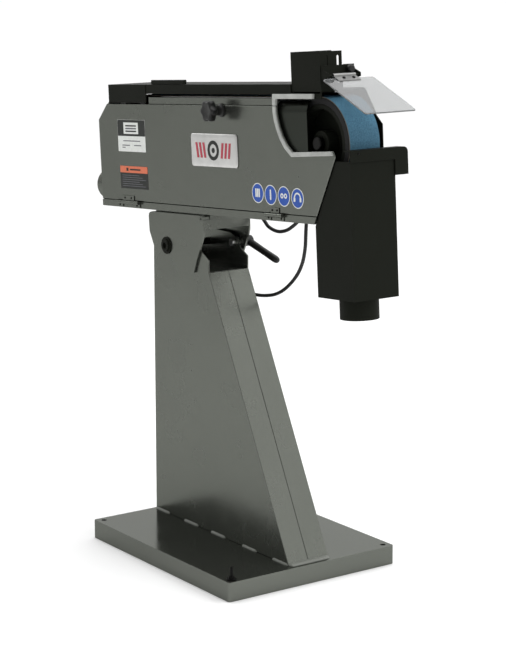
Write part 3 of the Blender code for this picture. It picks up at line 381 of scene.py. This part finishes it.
def make_materials():
    """Every material by its short name."""
    return {
        "grey": sprayed("grey_enamel", GREY, 0.25, 0.22, flake=0.85, gloss=0.3, edge=0.35),
        # the base pan in the lighter grey: painted light on its top
        "base": sprayed("base_enamel_painted_light", GREY_WITH_PAINTED_LIGHT, 0.15, 0.12, 0.00001, flake=0.9, gloss=0.3, edge=0.55),
        # the weld beads in the lighter grey: painted light on the beads
        "weld": sprayed("painted_weld", GREY_WITH_PAINTED_LIGHT, 0.42, 0.14, 0.00006, gloss=0.4),
        "black": sprayed("black_enamel", BLACK, 0.50, flake=0.3, gloss=0.08, edge=0.35),
        "shield": sprayed("shield_enamel", (0.030, 0.033, 0.028), 0.24, flake=0.9, gloss=0.2, edge=0.5),
        "leaf": metal("dull_steel", (0.24, 0.24, 0.235), 0.36, (1.0, 8.0, 1.0)),
        "silver": metal("satin_silver", (0.60, 0.60, 0.585), 0.42, (1.0, 1.0, 12.0)),
        "trim": moulded("grey_edging", (0.35, 0.36, 0.34), 0.45),
        "steel": metal("zinc_steel", (0.56, 0.56, 0.55), 0.30, (1.0, 8.0, 1.0)),
        "oxide": metal("blackened_steel", (0.012, 0.012, 0.0115), 0.42),
        "cast": metal("cast_aluminium", (0.30, 0.30, 0.30), 0.46, scale=500.0, depth=0.00008),
        "rubber": moulded("tyre_rubber", (0.006, 0.006, 0.006), 0.66, gloss=0.25),
        "lead": moulded("lead_sheath", (0.009, 0.009, 0.009), 0.48, 900.0, gloss=0.35),
        "plastic": moulded("black_plastic", (0.0065, 0.0068, 0.0062), 0.42, gloss=0.3),
        "grit": grit(),
        "cloth": cloth_back(),
        "clear": clear_sheet(),
        "white": printed("label_white", (0.68, 0.70, 0.67)),
        "ink": printed("label_ink", (0.014, 0.016, 0.0135), 0.42, 0.2),
        "soft_ink": printed("label_soft_ink", (0.10, 0.10, 0.115)),
        "amber": printed("label_amber", (0.62, 0.145, 0.065)),
        "crimson": printed("emblem_crimson", (0.40, 0.035, 0.06), 0.35),
        "blue": printed("label_blue", (0.012, 0.07, 0.36)),
        "green": moulded("green_button", (0.02, 0.26, 0.07), 0.32),
        "red": moulded("red_button", (0.50, 0.02, 0.02), 0.32),
    }


# ---------------------------------------------------------------- mesh makers

AXES = {"xz": (0, 2, 1), "yz": (1, 2, 0), "xy": (0, 1, 2)}


def place(plane, first, second, third):
    """A point whose first two numbers lie in the plane and whose third is along its normal."""
    point = [0.0, 0.0, 0.0]
    for axis, value in zip(AXES[plane], (first, second, third)):
        point[axis] = value
    return point


def bridge(bm, one, two, material=0):
    """Joins two equal loops of vertices with a band of faces."""
    count = len(one)
    for i in range(count):
        j = (i + 1) % count
        corners = []
        for vert in (one[i], one[j], two[j], two[i]):
            if vert not in corners:
                corners.append(vert)
        if len(corners) > 2:
            bm.faces.new(corners).material_index = material


def loft(bm, loops, material=0):
    """Skins equal loops of points and closes both ends."""
    made = [[bm.verts.new(point) for point in loop] for loop in loops]
    for one, two in zip(made, made[1:]):
        bridge(bm, one, two, material)
    bm.faces.new(made[0][::-1]).material_index = material
    bm.faces.new(made[-1]).material_index = material


def circle(cx, cy, radius, count=32):
    angles = [2.0 * math.pi * i / count for i in range(count)]
    return [(cx + radius * math.cos(angle), cy + radius * math.sin(angle)) for angle in angles]


def rounded(x0, x1, y0, y1, radius, steps=5):
    """A rectangle with rounded corners."""
    points = []
    corners = ((x1 - radius, y0 + radius, -0.5), (x1 - radius, y1 - radius, 0.0),
               (x0 + radius, y1 - radius, 0.5), (x0 + radius, y0 + radius, 1.0))
    for cx, cy, start in corners:
        for i in range(steps + 1):
            angle = math.pi * (start + 0.5 * i / steps)
            points.append((cx + radius * math.cos(angle), cy + radius * math.sin(angle)))
    return points


def grown(points, centre, factor_x, factor_y):
    """An outline scaled about its centre."""
    return [(centre[0] + (a - centre[0]) * factor_x, centre[1] + (b - centre[1]) * factor_y)
            for a, b in points]


def prism(bm, points, low, high, plane="xz", material=0):
    loft(bm, [[place(plane, a, b, depth) for a, b in points] for depth in (low, high)], material)


def turned(bm, cx, cy, profile, plane="xz", count=40, material=0):
    """A solid of revolution from (radius, height) steps, closed at both ends."""
    loops = [[place(plane, a, b, height) for a, b in circle(cx, cy, radius, count)]
             for radius, height in profile]
    loft(bm, loops, material)


def ring(bm, cx, cy, outer, inner, low, high, plane="xz", count=40, material=0):
    """A flat ring with square edges."""
    steps = ((outer, low), (outer, high), (inner, high), (inner, low))
    made = [[bm.verts.new(place(plane, a, b, depth)) for a, b in circle(cx, cy, radius, count)]
            for radius, depth in steps]
    for k in range(4):
        bridge(bm, made[k], made[(k + 1) % 4], material)


def screw(bm, cx, cy, face, out, radius, plane="xz", material=0):
    """A domed screw head with a socket; out is +1 or -1 along the plane's normal."""
    rise = radius * 0.55
    steps = ((1.0, 0.0), (1.0, 0.25), (0.9, 0.62), (0.7, 0.88), (0.51, 1.0), (0.45, 0.95), (0.45, 0.4))
    turned(bm, cx, cy, [(radius * r, face + out * rise * h) for r, h in steps], plane, 18, material)


def hex_head(bm, cx, cy, face, out, across, height, plane="xz"):
    """A hexagon head with a chamfered rim."""
    loops = []
    for scale, level in ((1.0, 0.0), (1.0, 0.72), (0.88, 1.0)):
        points = circle(cx, cy, across / math.sqrt(3.0) * scale, 6)
        loops.append([place(plane, a, b, face + out * height * level) for a, b in points])
    loft(bm, loops)


def make(name, bm, position, body, materials, crease=CREASE):
    """Finishes a mesh given in the stand's or the head's frame and sets it riding."""
    bmesh.ops.recalc_face_normals(bm, faces=bm.faces[:])
    bm.transform(position)
    mesh = bpy.data.meshes.new(name)
    bm.to_mesh(mesh)
    bm.free()
    for material in materials:
        mesh.materials.append(MATERIALS[material])
    mesh.shade_smooth()
    mesh.set_sharp_from_angle(angle=math.radians(crease))
    item = add(name, mesh)
    if body:
        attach(item, body)
    return item


def soften(item, width, segments):
    """Rounds the sharp edges and keeps the faces between them even."""
    step = item.modifiers.new("round_edges", "BEVEL")
    step.width = width
    step.segments = segments
    step.limit_method = "ANGLE"
    step.angle_limit = math.radians(CREASE)
    step.use_clamp_overlap = True
    shade = item.modifiers.new("even_normals", "WEIGHTED_NORMAL")
    shade.keep_sharp = True


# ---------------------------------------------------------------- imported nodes

def smoothing_group():
    """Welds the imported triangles, drops their stored normals and marks the sharp edges."""
    group = bpy.data.node_groups.new("weld_and_shade", "GeometryNodeTree")
    group.interface.new_socket("Geometry", in_out="INPUT", socket_type="NodeSocketGeometry")
    group.interface.new_socket("Geometry", in_out="OUTPUT", socket_type="NodeSocketGeometry")
    start = group.nodes.new("NodeGroupInput")
    weld = group.nodes.new("GeometryNodeMergeByDistance")
    weld.inputs["Distance"].default_value = 0.000004
    drop = group.nodes.new("GeometryNodeRemoveAttribute")
    drop.inputs["Name"].default_value = "custom_normal"
    faces = group.nodes.new("GeometryNodeSetShadeSmooth")
    faces.domain = "FACE"
    edges = group.nodes.new("GeometryNodeSetShadeSmooth")
    edges.domain = "EDGE"
    edges.inputs["Shade Smooth"].default_value = False
    angle = group.nodes.new("GeometryNodeInputMeshEdgeAngle")
    sharp = group.nodes.new("FunctionNodeCompare")
    sharp.operation = "GREATER_THAN"
    sharp.inputs[1].default_value = math.radians(CREASE)
    end = group.nodes.new("NodeGroupOutput")
    group.links.new(angle.outputs["Unsigned Angle"], sharp.inputs[0])
    group.links.new(sharp.outputs[0], edges.inputs["Selection"])
    for one, two in ((start, weld), (weld, drop), (drop, faces), (faces, edges), (edges, end)):
        group.links.new(one.outputs[0], two.inputs[0])
    return group


def dress(names, material, bevel, segments=2):
    """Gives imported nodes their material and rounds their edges."""
    for name in names.split():
        item = NODES[name]
        for holder in item.material_slots:
            holder.material = MATERIALS[material]
        step = item.modifiers.new("weld_and_shade", "NODES")
        step.node_group = SMOOTHING
        flat = item.modifiers.new("plain_faces", "DECIMATE")
        flat.decimate_type = "DISSOLVE"
        flat.angle_limit = math.radians(0.6)
        soften(item, bevel, segments)


def dress_nodes():
    """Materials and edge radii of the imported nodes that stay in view."""
    dress("head_shell top_rail head_bracket", "grey", 0.0009, 3)
    dress("stand_near_half stand_far_half", "grey", 0.0014, 3)
    dress("door_panel", "grey", 0.0022, 4)
    dress("base_pan", "base", 0.0018, 3)
    dress("stand_top_web dust_port", "grey", 0.0004)
    dress("door_hinge_rear door_hinge_front door_leaf_rear door_leaf_front", "grey", 0.0004)
    dress("belt_shield", "shield", 0.0004)
    dress("rear_cap lid chute guard_plate visor_bracket lid_grip tool_rest", "black", 0.0008, 3)
    dress("outlet_pipe lid_hinge visor_carrier pivot_bolt", "black", 0.0005)
    dress("window_trim_top window_trim_door", "trim", 0.0016, 3)
    dress("platen wheel_slide slide_guide tension_lever pivot_nut motor_shaft lock_bolt", "steel", 0.0005)
    dress("levelling_bolt contact_axle", "oxide", 0.0003)
    dress("visor_hinge_leaf", "leaf", 0.0004)
    dress("drive_wheel", "cast", 0.0006)
    dress("contact_hub fan_cover", "black", 0.0006)
    dress("contact_tyre", "rubber", 0.0012, 3)
    dress("switch_box switch_cover junction_box terminal_box", "plastic", 0.0012, 3)
    dress("gland_switch_lead gland_mains gland_motor_lead gland_supply_lead", "plastic", 0.0005)
    dress("visor_clamp_knob", "plastic", 0.0005)
    dress("start_button", "green", 0.0006, 3)
    dress("stop_button", "red", 0.0006, 3)


# ---------------------------------------------------------------- leads

def smooth_route(points, per_span=4):
    """A smooth line of points through the given ones."""
    ends = [Vector(p) for p in points]
    chain = [ends[0] * 2.0 - ends[1]] + ends + [ends[-1] * 2.0 - ends[-2]]
    route = []
    for k in range(1, len(chain) - 2):
        a, b, c, d = chain[k - 1:k + 3]
        for i in range(per_span):
            t = i / per_span
            route.append(0.5 * (2.0 * b + (c - a) * t + (2.0 * a - 5.0 * b + 4.0 * c - d) * t * t
                                + (3.0 * b - a - 3.0 * c + d) * t * t * t))
    route.append(ends[-1])
    return route


def tube(bm, route, radius, sides=14):
    """A round tube along a route, without twist."""
    side = (route[1] - route[0]).orthogonal().normalized()
    loops = []
    for k, point in enumerate(route):
        ahead = route[min(k + 1, len(route) - 1)]
        behind = route[max(k - 1, 0)]
        along = (ahead - behind).normalized()
        side = (side - along * side.dot(along)).normalized()
        up = along.cross(side)
        loops.append([point + side * a + up * b for a, b in circle(0.0, 0.0, radius, sides)])
    loft(bm, loops)


def make_leads():
    """The motor lead and the supply lead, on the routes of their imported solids."""
    box_bottom = 0.0812
    motor = [(-0.033, 0.13, 0.1855), (-0.033, 0.13, 0.178), (-0.033, 0.13, 0.165), (-0.015, 0.126, 0.135),
             (0.03, 0.118, 0.105), (0.09, 0.106, 0.084), (0.145, 0.092, 0.069), (0.179, 0.084, 0.0545),
             (0.1955, 0.083, 0.0418), (0.2153, 0.083, 0.0345), (0.238, 0.083, 0.0318),
             (0.2654, 0.083, 0.0363), (0.2881, 0.0835, 0.0465), (0.3025, 0.0855, 0.0565),
             (0.311, 0.087, box_bottom - 0.013), (0.311, 0.087, box_bottom - 0.006),
             (0.311, 0.087, box_bottom)]
    stops = [(0.1265, 0.084, 0.74), (0.1271, 0.083, 0.7251), (0.1251, 0.083, 0.6986),
             (0.1156, 0.083, 0.6654), (0.0941, 0.083, 0.6334), (0.0582, 0.083, 0.6025),
             (0.0226, 0.083, 0.5834), (-0.014, 0.083, 0.5735), (-0.0558, 0.083, 0.5685),
             (-0.1, 0.0838, 0.57), (-0.126, 0.0843, 0.5738), (-0.1434, 0.0845, 0.575),
             (-0.1514, 0.0845, 0.575)]
    start = [HEAD @ Vector((0.3355, 0.087, box_bottom)), HEAD @ Vector((0.3355, 0.087, box_bottom - 0.008))]
    routes = {"motor_cable": ([HEAD @ Vector(p) for p in motor], "motor_lead"),
              "supply_cable": (start + [STAND @ Vector(p) for p in stops], "supply_lead")}
    for name, (points, node) in routes.items():
        route = smooth_route(points)
        bm = bmesh.new()
        tube(bm, route, LEAD_R)
        body = "head" if name == "motor_cable" else None
        item = make(name, bm, Matrix.Identity(4), body, ["lead"])
        if not body:
            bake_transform(item)
        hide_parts(node)


# ---------------------------------------------------------------- belt and motor

def make_belt():
    """The belt as a thin loop: grain outside, cloth inside, with cut edges."""
    steps = 40
    bm = bmesh.new()
    outline = []
    for centre, start in ((WHEEL_U, -0.5), (DRIVE_U, 0.5)):
        for i in range(steps + 1):
            outline.append((centre, math.pi * (start + i / steps)))
    loops = []
    edge = 0.0004
    inside = BELT_R - BELT_T
    section = ((BELT_R, -BELT_Y + edge), (BELT_R, BELT_Y - edge), (BELT_R - edge, BELT_Y),
               (inside, BELT_Y), (inside, -BELT_Y), (BELT_R - edge, -BELT_Y))
    for radius, depth in section:
        loops.append([bm.verts.new((c + radius * math.cos(a), depth, WHEEL_W + radius * math.sin(a)))
                      for c, a in outline])
    for k in range(len(loops)):
        bridge(bm, loops[k], loops[(k + 1) % len(loops)], 0 if k == 0 else 1)
    item = make("belt_loop", bm, HEAD, "head", ["grit", "cloth"])
    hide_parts("abrasive_belt")


def make_motor():
    """A ribbed motor frame between two plain end bells."""
    bm = bmesh.new()
    ribs = 36
    root = MOTOR_R - 0.009
    outline = []
    for i in range(ribs):
        for offset, radius in ((-0.32, root), (-0.14, MOTOR_R), (0.14, MOTOR_R), (0.32, root)):
            angle = 2.0 * math.pi * (i + offset) / ribs
            outline.append((radius * math.cos(angle), radius * math.sin(angle)))
    radii = [math.hypot(a, b) for a, b in outline]
    start = MOTOR_Y0 + 0.03
    stop = MOTOR_Y1 - 0.012

    def level(depth, limit=None):
        loop = []
        for (a, b), r in zip(outline, radii):
            scale = 1.0 if limit is None else limit / r
            loop.append((DRIVE_U + a * scale, depth, WHEEL_W + b * scale))
        return loop

    loops = [level(MOTOR_Y0, 0.0655), level(MOTOR_Y0, 0.07), level(MOTOR_Y0 + 0.006, 0.078),
             level(MOTOR_Y0 + 0.022, 0.078), level(MOTOR_Y0 + 0.025, 0.0868), level(start - 0.002, MOTOR_R),
             level(start, MOTOR_R), level(start), level(stop), level(stop, MOTOR_R), level(MOTOR_Y1, MOTOR_R)]
    loft(bm, loops)
    item = make("motor_frame", bm, HEAD, "head", ["grey"], 30.0)
    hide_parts("motor_body")
    make_fan()


def make_fan():
    """The cowl's wire grille and the fan behind it."""
    bm = bmesh.new()
    face = 0.2958
    for radius in (0.0085, 0.0145, 0.0205, 0.0265):
        ring(bm, DRIVE_U, WHEEL_W, radius + 0.0009, radius - 0.0009, face - 0.0009, face + 0.0009)
    for k in range(3):
        angle = math.pi * (k / 3.0 + 0.25)
        reach = Vector((math.cos(angle), math.sin(angle))) * 0.0298
        across = Vector((-reach.y, reach.x)).normalized() * 0.0009
        ends = [reach + across, reach - across, -reach - across, -reach + across]
        prism(bm, [(DRIVE_U + p.x, WHEEL_W + p.y) for p in ends], face - 0.0028, face - 0.0011)
    make("fan_grille", bm, HEAD, "head", ["black"])
    bm = bmesh.new()
    low = MOTOR_Y1 + 0.01
    hub = [(0.016, low), (0.018, low + 0.002), (0.018, low + 0.026), (0.015, low + 0.03)]
    turned(bm, DRIVE_U, WHEEL_W, hub)
    for k in range(7):
        angle = 2.0 * math.pi * k / 7.0
        along = Vector((math.cos(angle), 0.0, math.sin(angle)))
        side = Vector((-along.z, 0.0, along.x))
        centre = Vector((DRIVE_U, low + 0.015, WHEEL_W))
        loops = []
        for reach, twist in ((0.015, 0.004), (0.04, 0.008), (0.066, 0.011)):
            lean = side * twist + Vector((0.0, 0.012, 0.0))
            thick = side * 0.0012
            middle = centre + along * reach
            loops.append([middle - lean - thick, middle + lean - thick,
                          middle + lean + thick, middle - lean + thick])
        loft(bm, loops)
    make("cooling_fan", bm, HEAD, "drive", ["plastic"])


# ---------------------------------------------------------------- hand parts

def make_knob():
    """A six-lobed hand knob with a dished face, on its collar and stud."""
    lobes = 6
    count = lobes * 10
    bm = bmesh.new()
    front = -0.1005
    steps = ((0.20, 0.0016), (0.52, 0.0012), (0.74, 0.0002), (0.88, 0.0004), (0.97, 0.0022), (1.0, 0.0048),
             (1.0, 0.0120), (0.97, 0.0146), (0.88, 0.0166), (0.70, 0.0172))
    loops = []
    for scale, depth in steps:
        loop = []
        for i in range(count):
            angle = 2.0 * math.pi * i / count
            radius = (0.0215 + 0.0028 * math.cos(lobes * angle) * min(1.0, scale * scale * 1.1)) * scale
            loop.append((KNOB_U + radius * math.cos(angle), front + depth, KNOB_W + radius * math.sin(angle)))
        loops.append(loop)
    neck = ((0.0152, 0.0176), (0.0118, 0.0215), (0.0106, 0.0255), (0.0104, 0.0345), (0.0112, 0.0358),
            (0.0142, 0.0374), (0.0145, 0.0402), (0.0141, 0.0404), (0.0038, 0.0404), (0.0038, 0.0596),
            (0.003, 0.06))
    for radius, depth in neck:
        loops.append([(u, front + depth, w) for u, w in circle(KNOB_U, KNOB_W, radius, count)])
    loft(bm, loops)
    item = make("hand_knob", bm, HEAD, "door_knob", ["plastic"], 50.0)
    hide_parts("door_knob")


def make_lever():
    """The clamp lever: a turned hub and a round grip leaning down and away."""
    angle = math.radians(2.0) + TILT
    reach = 0.1088
    x = PIVOT_X + reach * math.cos(angle)
    z = PIVOT_Z + reach * math.sin(angle)
    bm = bmesh.new()
    hub = ((0.0058, 0.0704), (0.0108, 0.0704), (0.0116, 0.0708), (0.0124, 0.0718), (0.0124, 0.0935),
           (0.0118, 0.0958), (0.0098, 0.0978), (0.006, 0.0979), (0.0056, 0.0973), (0.0004, 0.0970))
    turned(bm, x, z, hub, count=36)
    lean = math.radians(-18.6)
    out = math.radians(6.0)
    along = Vector((math.cos(lean) * math.cos(out), math.sin(out), math.sin(lean) * math.cos(out)))
    side = Vector((0.0, 1.0, 0.0)).cross(along).normalized()
    up = along.cross(side)
    stations = ((0.004, 0.0084), (0.015, 0.0086), (0.03, 0.0083), (0.05, 0.0080), (0.07, 0.0081),
                (0.085, 0.0084), (0.094, 0.0085), (0.0995, 0.0081), (0.1035, 0.0070), (0.106, 0.0052),
                (0.107, 0.0034), (0.1073, 0.0010))
    loops = []
    for distance, radius in stations:
        centre = Vector((x, 0.088, z)) + along * distance
        loops.append([centre + side * a * 0.96 + up * b for a, b in circle(0.0, 0.0, radius, 28)])
    loft(bm, loops)
    item = make("clamp_handle", bm, STAND, "clamp_lever", ["plastic"])
    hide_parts("clamp_lever")


def make_visor():
    """The clear panel with rounded corners."""
    top = Vector((0.62, 0.0, 0.37))
    end = Vector((0.752, 0.0, 0.3045))
    along = (end - top).normalized()
    normal = Vector((-along.z, 0.0, along.x))
    length = (end - top).length
    width = VISOR_FAR - VISOR_NEAR
    centre = (length / 2, (VISOR_NEAR + VISOR_FAR) / 2)
    outline = rounded(0.0, length, VISOR_NEAR, VISOR_FAR, 0.0045, 8)
    bevel = 0.0004

    def lifted(points, rise):
        return [top + along * a + Vector((0.0, b, 0.0)) + normal * rise for a, b in points]

    bm = bmesh.new()
    loops = []
    for inset, depth in ((bevel, 0.0), (0.0, bevel), (0.0, VISOR_T - bevel), (bevel, VISOR_T)):
        shape = grown(outline, centre, 1.0 - 2.0 * inset / length, 1.0 - 2.0 * inset / width)
        loops.append(lifted(shape, -depth))
    loft(bm, loops)
    item = make("clear_visor", bm, HEAD, "visor", ["clear"])
    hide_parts("visor_panel")
    bm = bmesh.new()
    for y in (-0.0225, 0.0022):
        head = ((0.0036, 0.0019), (0.0036, 0.0027), (0.0028, 0.0037), (0.0014, 0.004))
        loft(bm, [lifted(circle(0.0022, y, radius, 20), rise) for radius, rise in head])
    make("leaf_screws", bm, HEAD, "visor", ["oxide"])


# ---------------------------------------------------------------- badge, labels and signs

BADGE_U = (0.1213, 0.298)
BADGE_W = (0.183, 0.2545)
BADGE_MIDDLE = (sum(BADGE_U) / 2, sum(BADGE_W) / 2)
BADGE_BACK = NEAR - 0.0003


def badge_outline(inset):
    """The badge's outline, its two ends bowed outwards at mid height."""
    half_w = (BADGE_W[1] - BADGE_W[0]) / 2
    points = []
    u0, u1 = BADGE_U
    w0, w1 = BADGE_W
    for a, b in rounded(u0 + inset, u1 - inset, w0 + inset, w1 - inset, 0.006, 6):
        fall = abs((b - BADGE_MIDDLE[1]) / half_w)
        bow = 0.0018 * fall * fall
        points.append((a - math.copysign(bow, a - BADGE_MIDDLE[0]), b))
    return points


def make_badge():
    """A crowned silver badge."""
    bm = bmesh.new()
    crown = ((0.0, 0.0), (0.0, 0.0016), (0.0012, 0.0027), (0.004, 0.0034), (0.010, 0.0037))
    loft(bm, [[(a, BADGE_BACK - depth, b) for a, b in badge_outline(inset)] for inset, depth in crown])
    item = make("badge", bm, HEAD, "door", ["silver"], 50.0)
    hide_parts("badge_plate")


def make_emblem():
    """A plain ring and dot between slanted bars, on the badge."""
    cu, cw = BADGE_MIDDLE
    face = BADGE_BACK - 0.00372
    top = face - 0.0004
    bm = bmesh.new()
    ring(bm, cu, cw, 0.0215, 0.0135, top, face, count=56, material=0)
    turned(bm, cu, cw, [(0.0058, face), (0.0058, top)], count=32, material=0)
    lean = 0.0055
    for side in (-1.0, 1.0):
        for k in range(3):
            start = 0.0275 + 0.0135 * k
            stop = start + 0.0075
            bar = [(start, -0.0165), (stop, -0.0165), (stop + lean, 0.0165), (start + lean, 0.0165)]
            prism(bm, [(cu + side * a, cw + b) for a, b in bar], top, face, material=1)
    make("badge_emblem", bm, HEAD, "door", ["ink", "crimson"])


def strip(bm, u0, u1, w0, w1, level, material, thick=0.0001):
    """A thin film on the door, one level above the film below it."""
    face = NEAR - 0.0002 - thick * level
    prism(bm, rounded(u0, u1, w0, w1, min(0.0009, (w1 - w0) * 0.3), 2), face - thick, face, material=material)


def make_labels():
    """Two plain plates: header bands and rules in place of printing."""
    bm = bmesh.new()
    u0, u1 = -0.1846, -0.0673
    strip(bm, u0, u1, 0.207, 0.2797, 0, 0, 0.0002)
    strip(bm, u0 + 0.0004, u1 - 0.0004, 0.2425, 0.2793, 2, 1)
    strip(bm, u0 + 0.026, u1 - 0.029, 0.2475, 0.2735, 3, 0)
    for k in range(3):
        strip(bm, u0 + 0.034, u1 - 0.037, 0.2520 + 0.0062 * k, 0.2552 + 0.0062 * k, 4, (1, 2, 1)[k])
    rules = ((0.2315, 0.022, 0.095), (0.2215, 0.018, 0.05), (0.2215, 0.068, 0.099), (0.2165, 0.018, 0.031))
    for w, a, b in rules:
        strip(bm, u0 + a, u0 + b, w - 0.0011, w + 0.0011, 2, 2)
    make("rating_plate", bm, HEAD, "door", ["white", "ink", "soft_ink"])
    bm = bmesh.new()
    u0, u1 = -0.1818, -0.0644
    strip(bm, u0, u1, 0.122, 0.174, 0, 0, 0.0002)
    strip(bm, u0 + 0.0003, u1 - 0.0003, 0.1585, 0.1737, 2, 1)
    strip(bm, u0 + 0.027, u0 + 0.036, 0.1625, 0.1697, 3, 0)
    strip(bm, u0 + 0.042, u1 - 0.030, 0.1643, 0.1679, 3, 0)
    for k in range(6):
        strip(bm, u0 + 0.008, u1 - 0.010 - 0.013 * (k % 3), 0.1275 + 0.0049 * k, 0.1287 + 0.0049 * k, 2, 2)
    make("notice_plate", bm, HEAD, "door", ["ink", "amber", "soft_ink"])


def sign_mark(bm, kind, u, w, top, face):
    """A plain white mark: slats, a bar, a pair of rings or an arch."""
    if kind == 0:
        for k in range(3):
            left = u - 0.0085 + 0.0058 * k
            prism(bm, rounded(left, left + 0.0045, w - 0.0085, w + 0.0095, 0.001, 2), top, face)
    elif kind == 1:
        prism(bm, rounded(u - 0.0024, u + 0.0024, w - 0.0105, w + 0.0115, 0.002, 3), top, face)
    elif kind == 2:
        for side in (-1.0, 1.0):
            ring(bm, u + side * 0.0062, w + 0.001, 0.0055, 0.0024, top, face, count=24)
    else:
        steps = 14
        points = []
        for radius, order in ((0.012, range(steps + 1)), (0.0085, range(steps, -1, -1))):
            angles = [math.pi * i / steps for i in order]
            points += [(u + radius * math.cos(angle), w + radius * math.sin(angle)) for angle in angles]
        prism(bm, points, top, face)
        for side in (-1.0, 1.0):
            middle = u + side * 0.0103
            cup = rounded(middle - 0.003, middle + 0.003, w - 0.0075, w + 0.0015, 0.0015, 3)
            prism(bm, cup, top - 0.00003, face)


def make_signs():
    """Four round signs, blue with a white rim."""
    bm = bmesh.new()
    back = NEAR - 0.0002
    rim = [(0.0211, back), (0.0211, back - 0.0003), (0.0209, back - 0.0004)]
    disc = [(0.0192, back - 0.0004), (0.0192, back - 0.0005)]
    for kind, (u, w) in enumerate(((0.3641, 0.1336), (0.4097, 0.1314), (0.456, 0.1304), (0.5032, 0.1284))):
        turned(bm, u, w, rim, count=48, material=0)
        turned(bm, u, w, disc, count=48, material=1)
        sign_mark(bm, kind, u, w, back - 0.0006, back - 0.0005)
    make("round_signs", bm, HEAD, "door", ["white", "blue"])


# ---------------------------------------------------------------- fasteners and welds

def leaf_screws(bm, shares, w, radius):
    """Screws along both hinge leaves of the door."""
    leaf = NEAR - 0.0021
    for low, high in HINGE_LEAVES:
        for share in shares:
            screw(bm, low + (high - low) * share, w, leaf, -1.0, radius)


def make_door_screws():
    bm = bmesh.new()
    screw(bm, 0.4312, 0.0995, NEAR, -1.0, 0.0032)
    leaf_screws(bm, (0.36, 0.64), 0.1005, 0.0024)
    make("door_screws", bm, HEAD, "door", ["oxide"])


def make_head_screws():
    """Screws of the hinge leaves, bolts on the chute's back, and screws of the two boxes on the far side."""
    bm = bmesh.new()
    leaf_screws(bm, (0.125, 0.875), 0.0838, 0.0022)
    make("hinge_screws", bm, HEAD, "head", ["oxide"])
    bm = bmesh.new()
    for y in (-0.049, 0.049):
        hex_head(bm, y, 0.0671, 0.5562, -1.0, 0.008, 0.0042, "yz")
    box_face = 0.112
    for u in (0.294, 0.356):
        for w in (0.106, 0.159):
            screw(bm, u, w, box_face, 1.0, 0.0026)
    for y in (0.107, 0.173):
        for w in (0.207, 0.273):
            screw(bm, y, w, DRIVE_U + MOTOR_R + 0.0505, 1.0, 0.0026, "yz")
    make("head_fixings", bm, HEAD, "head", ["oxide"])


def make_rest_screw():
    bm = bmesh.new()
    screw(bm, -0.037, 0.2225, 0.6792, 1.0, 0.0024, "yz")
    make("rest_screw", bm, HEAD, "tool_rest", ["oxide"])


def make_switch_details():
    bm = bmesh.new()
    face = 0.116
    for x in (-0.244, -0.176):
        for z in (0.456, 0.592):
            screw(bm, x, z, face, 1.0, 0.0026, material=1)
    for z in (0.558, 0.498):
        ring(bm, -0.21, z, 0.0155, 0.0122, face, face + 0.0025, count=36)
    make("switch_trim", bm, STAND, "stand", ["plastic", "oxide"])


def weld_steps(count, radius, ramp, start, ripple, waves):
    """Share of the run and radius at each step of a weld that tapers at both ends."""
    steps = []
    for i in range(count + 1):
        share = i / count
        taper = math.sin(0.5 * math.pi * min(1.0, min(share, 1.0 - share) * ramp + start))
        steps.append((share, radius * taper * (1.0 + ripple * math.sin(share * 2.0 * math.pi * waves))))
    return steps


def side_bead(bm, x0, x1, side):
    """One stitch weld: a low rippled bead in the corner between the stand's side and the base."""
    y = side * (STAND_Y + 0.0001)
    z = BASE_TOP + 0.0001
    loops = []
    for share, size in weld_steps(26, 0.0042, 9.0, 0.08, 0.07, 13.0):
        x = x0 + (x1 - x0) * share
        loops.append([(x, y + side * size * math.cos(a), z + size * math.sin(a)) for a in WELD_ANGLES]
                     + [(x, y, z)])
    loft(bm, loops)


def front_bead(bm):
    """The fillet weld that runs across the foot of the sloping front."""
    x = STAND_FOOT - 0.001
    z = BASE_TOP + 0.0001
    loops = []
    for share, size in weld_steps(60, 0.0075, 20.0, 0.1, 0.06, 30.0):
        y = (2.0 * share - 1.0) * (STAND_Y - 0.0005)
        loops.append([(x + 1.5 * size * math.cos(a), y, z + 0.6 * size * math.sin(a)) for a in WELD_ANGLES]
                     + [(x, y, z)])
    loft(bm, loops)


def make_welds():
    bm = bmesh.new()
    front_bead(bm)
    for x0, x1 in ((-0.2655, -0.2085), (-0.148, -0.09), (-0.0395, 0.018), (0.0825, 0.138), (0.196, 0.252)):
        side_bead(bm, x0, x1, -1.0)
        side_bead(bm, x0, x1, 1.0)
    make("stitch_welds", bm, STAND, "stand", ["weld"], 60.0)


# ---------------------------------------------------------------- build

make_camera()
MATERIALS = make_materials()
SMOOTHING = smoothing_group()
make_leads()
make_light()
make_floor()
dress_nodes()
make_belt()
make_motor()
make_knob()
make_lever()
make_visor()
make_badge()
make_emblem()
make_labels()
make_signs()
make_door_screws()
make_head_screws()
make_rest_screw()
make_switch_details()
make_welds()
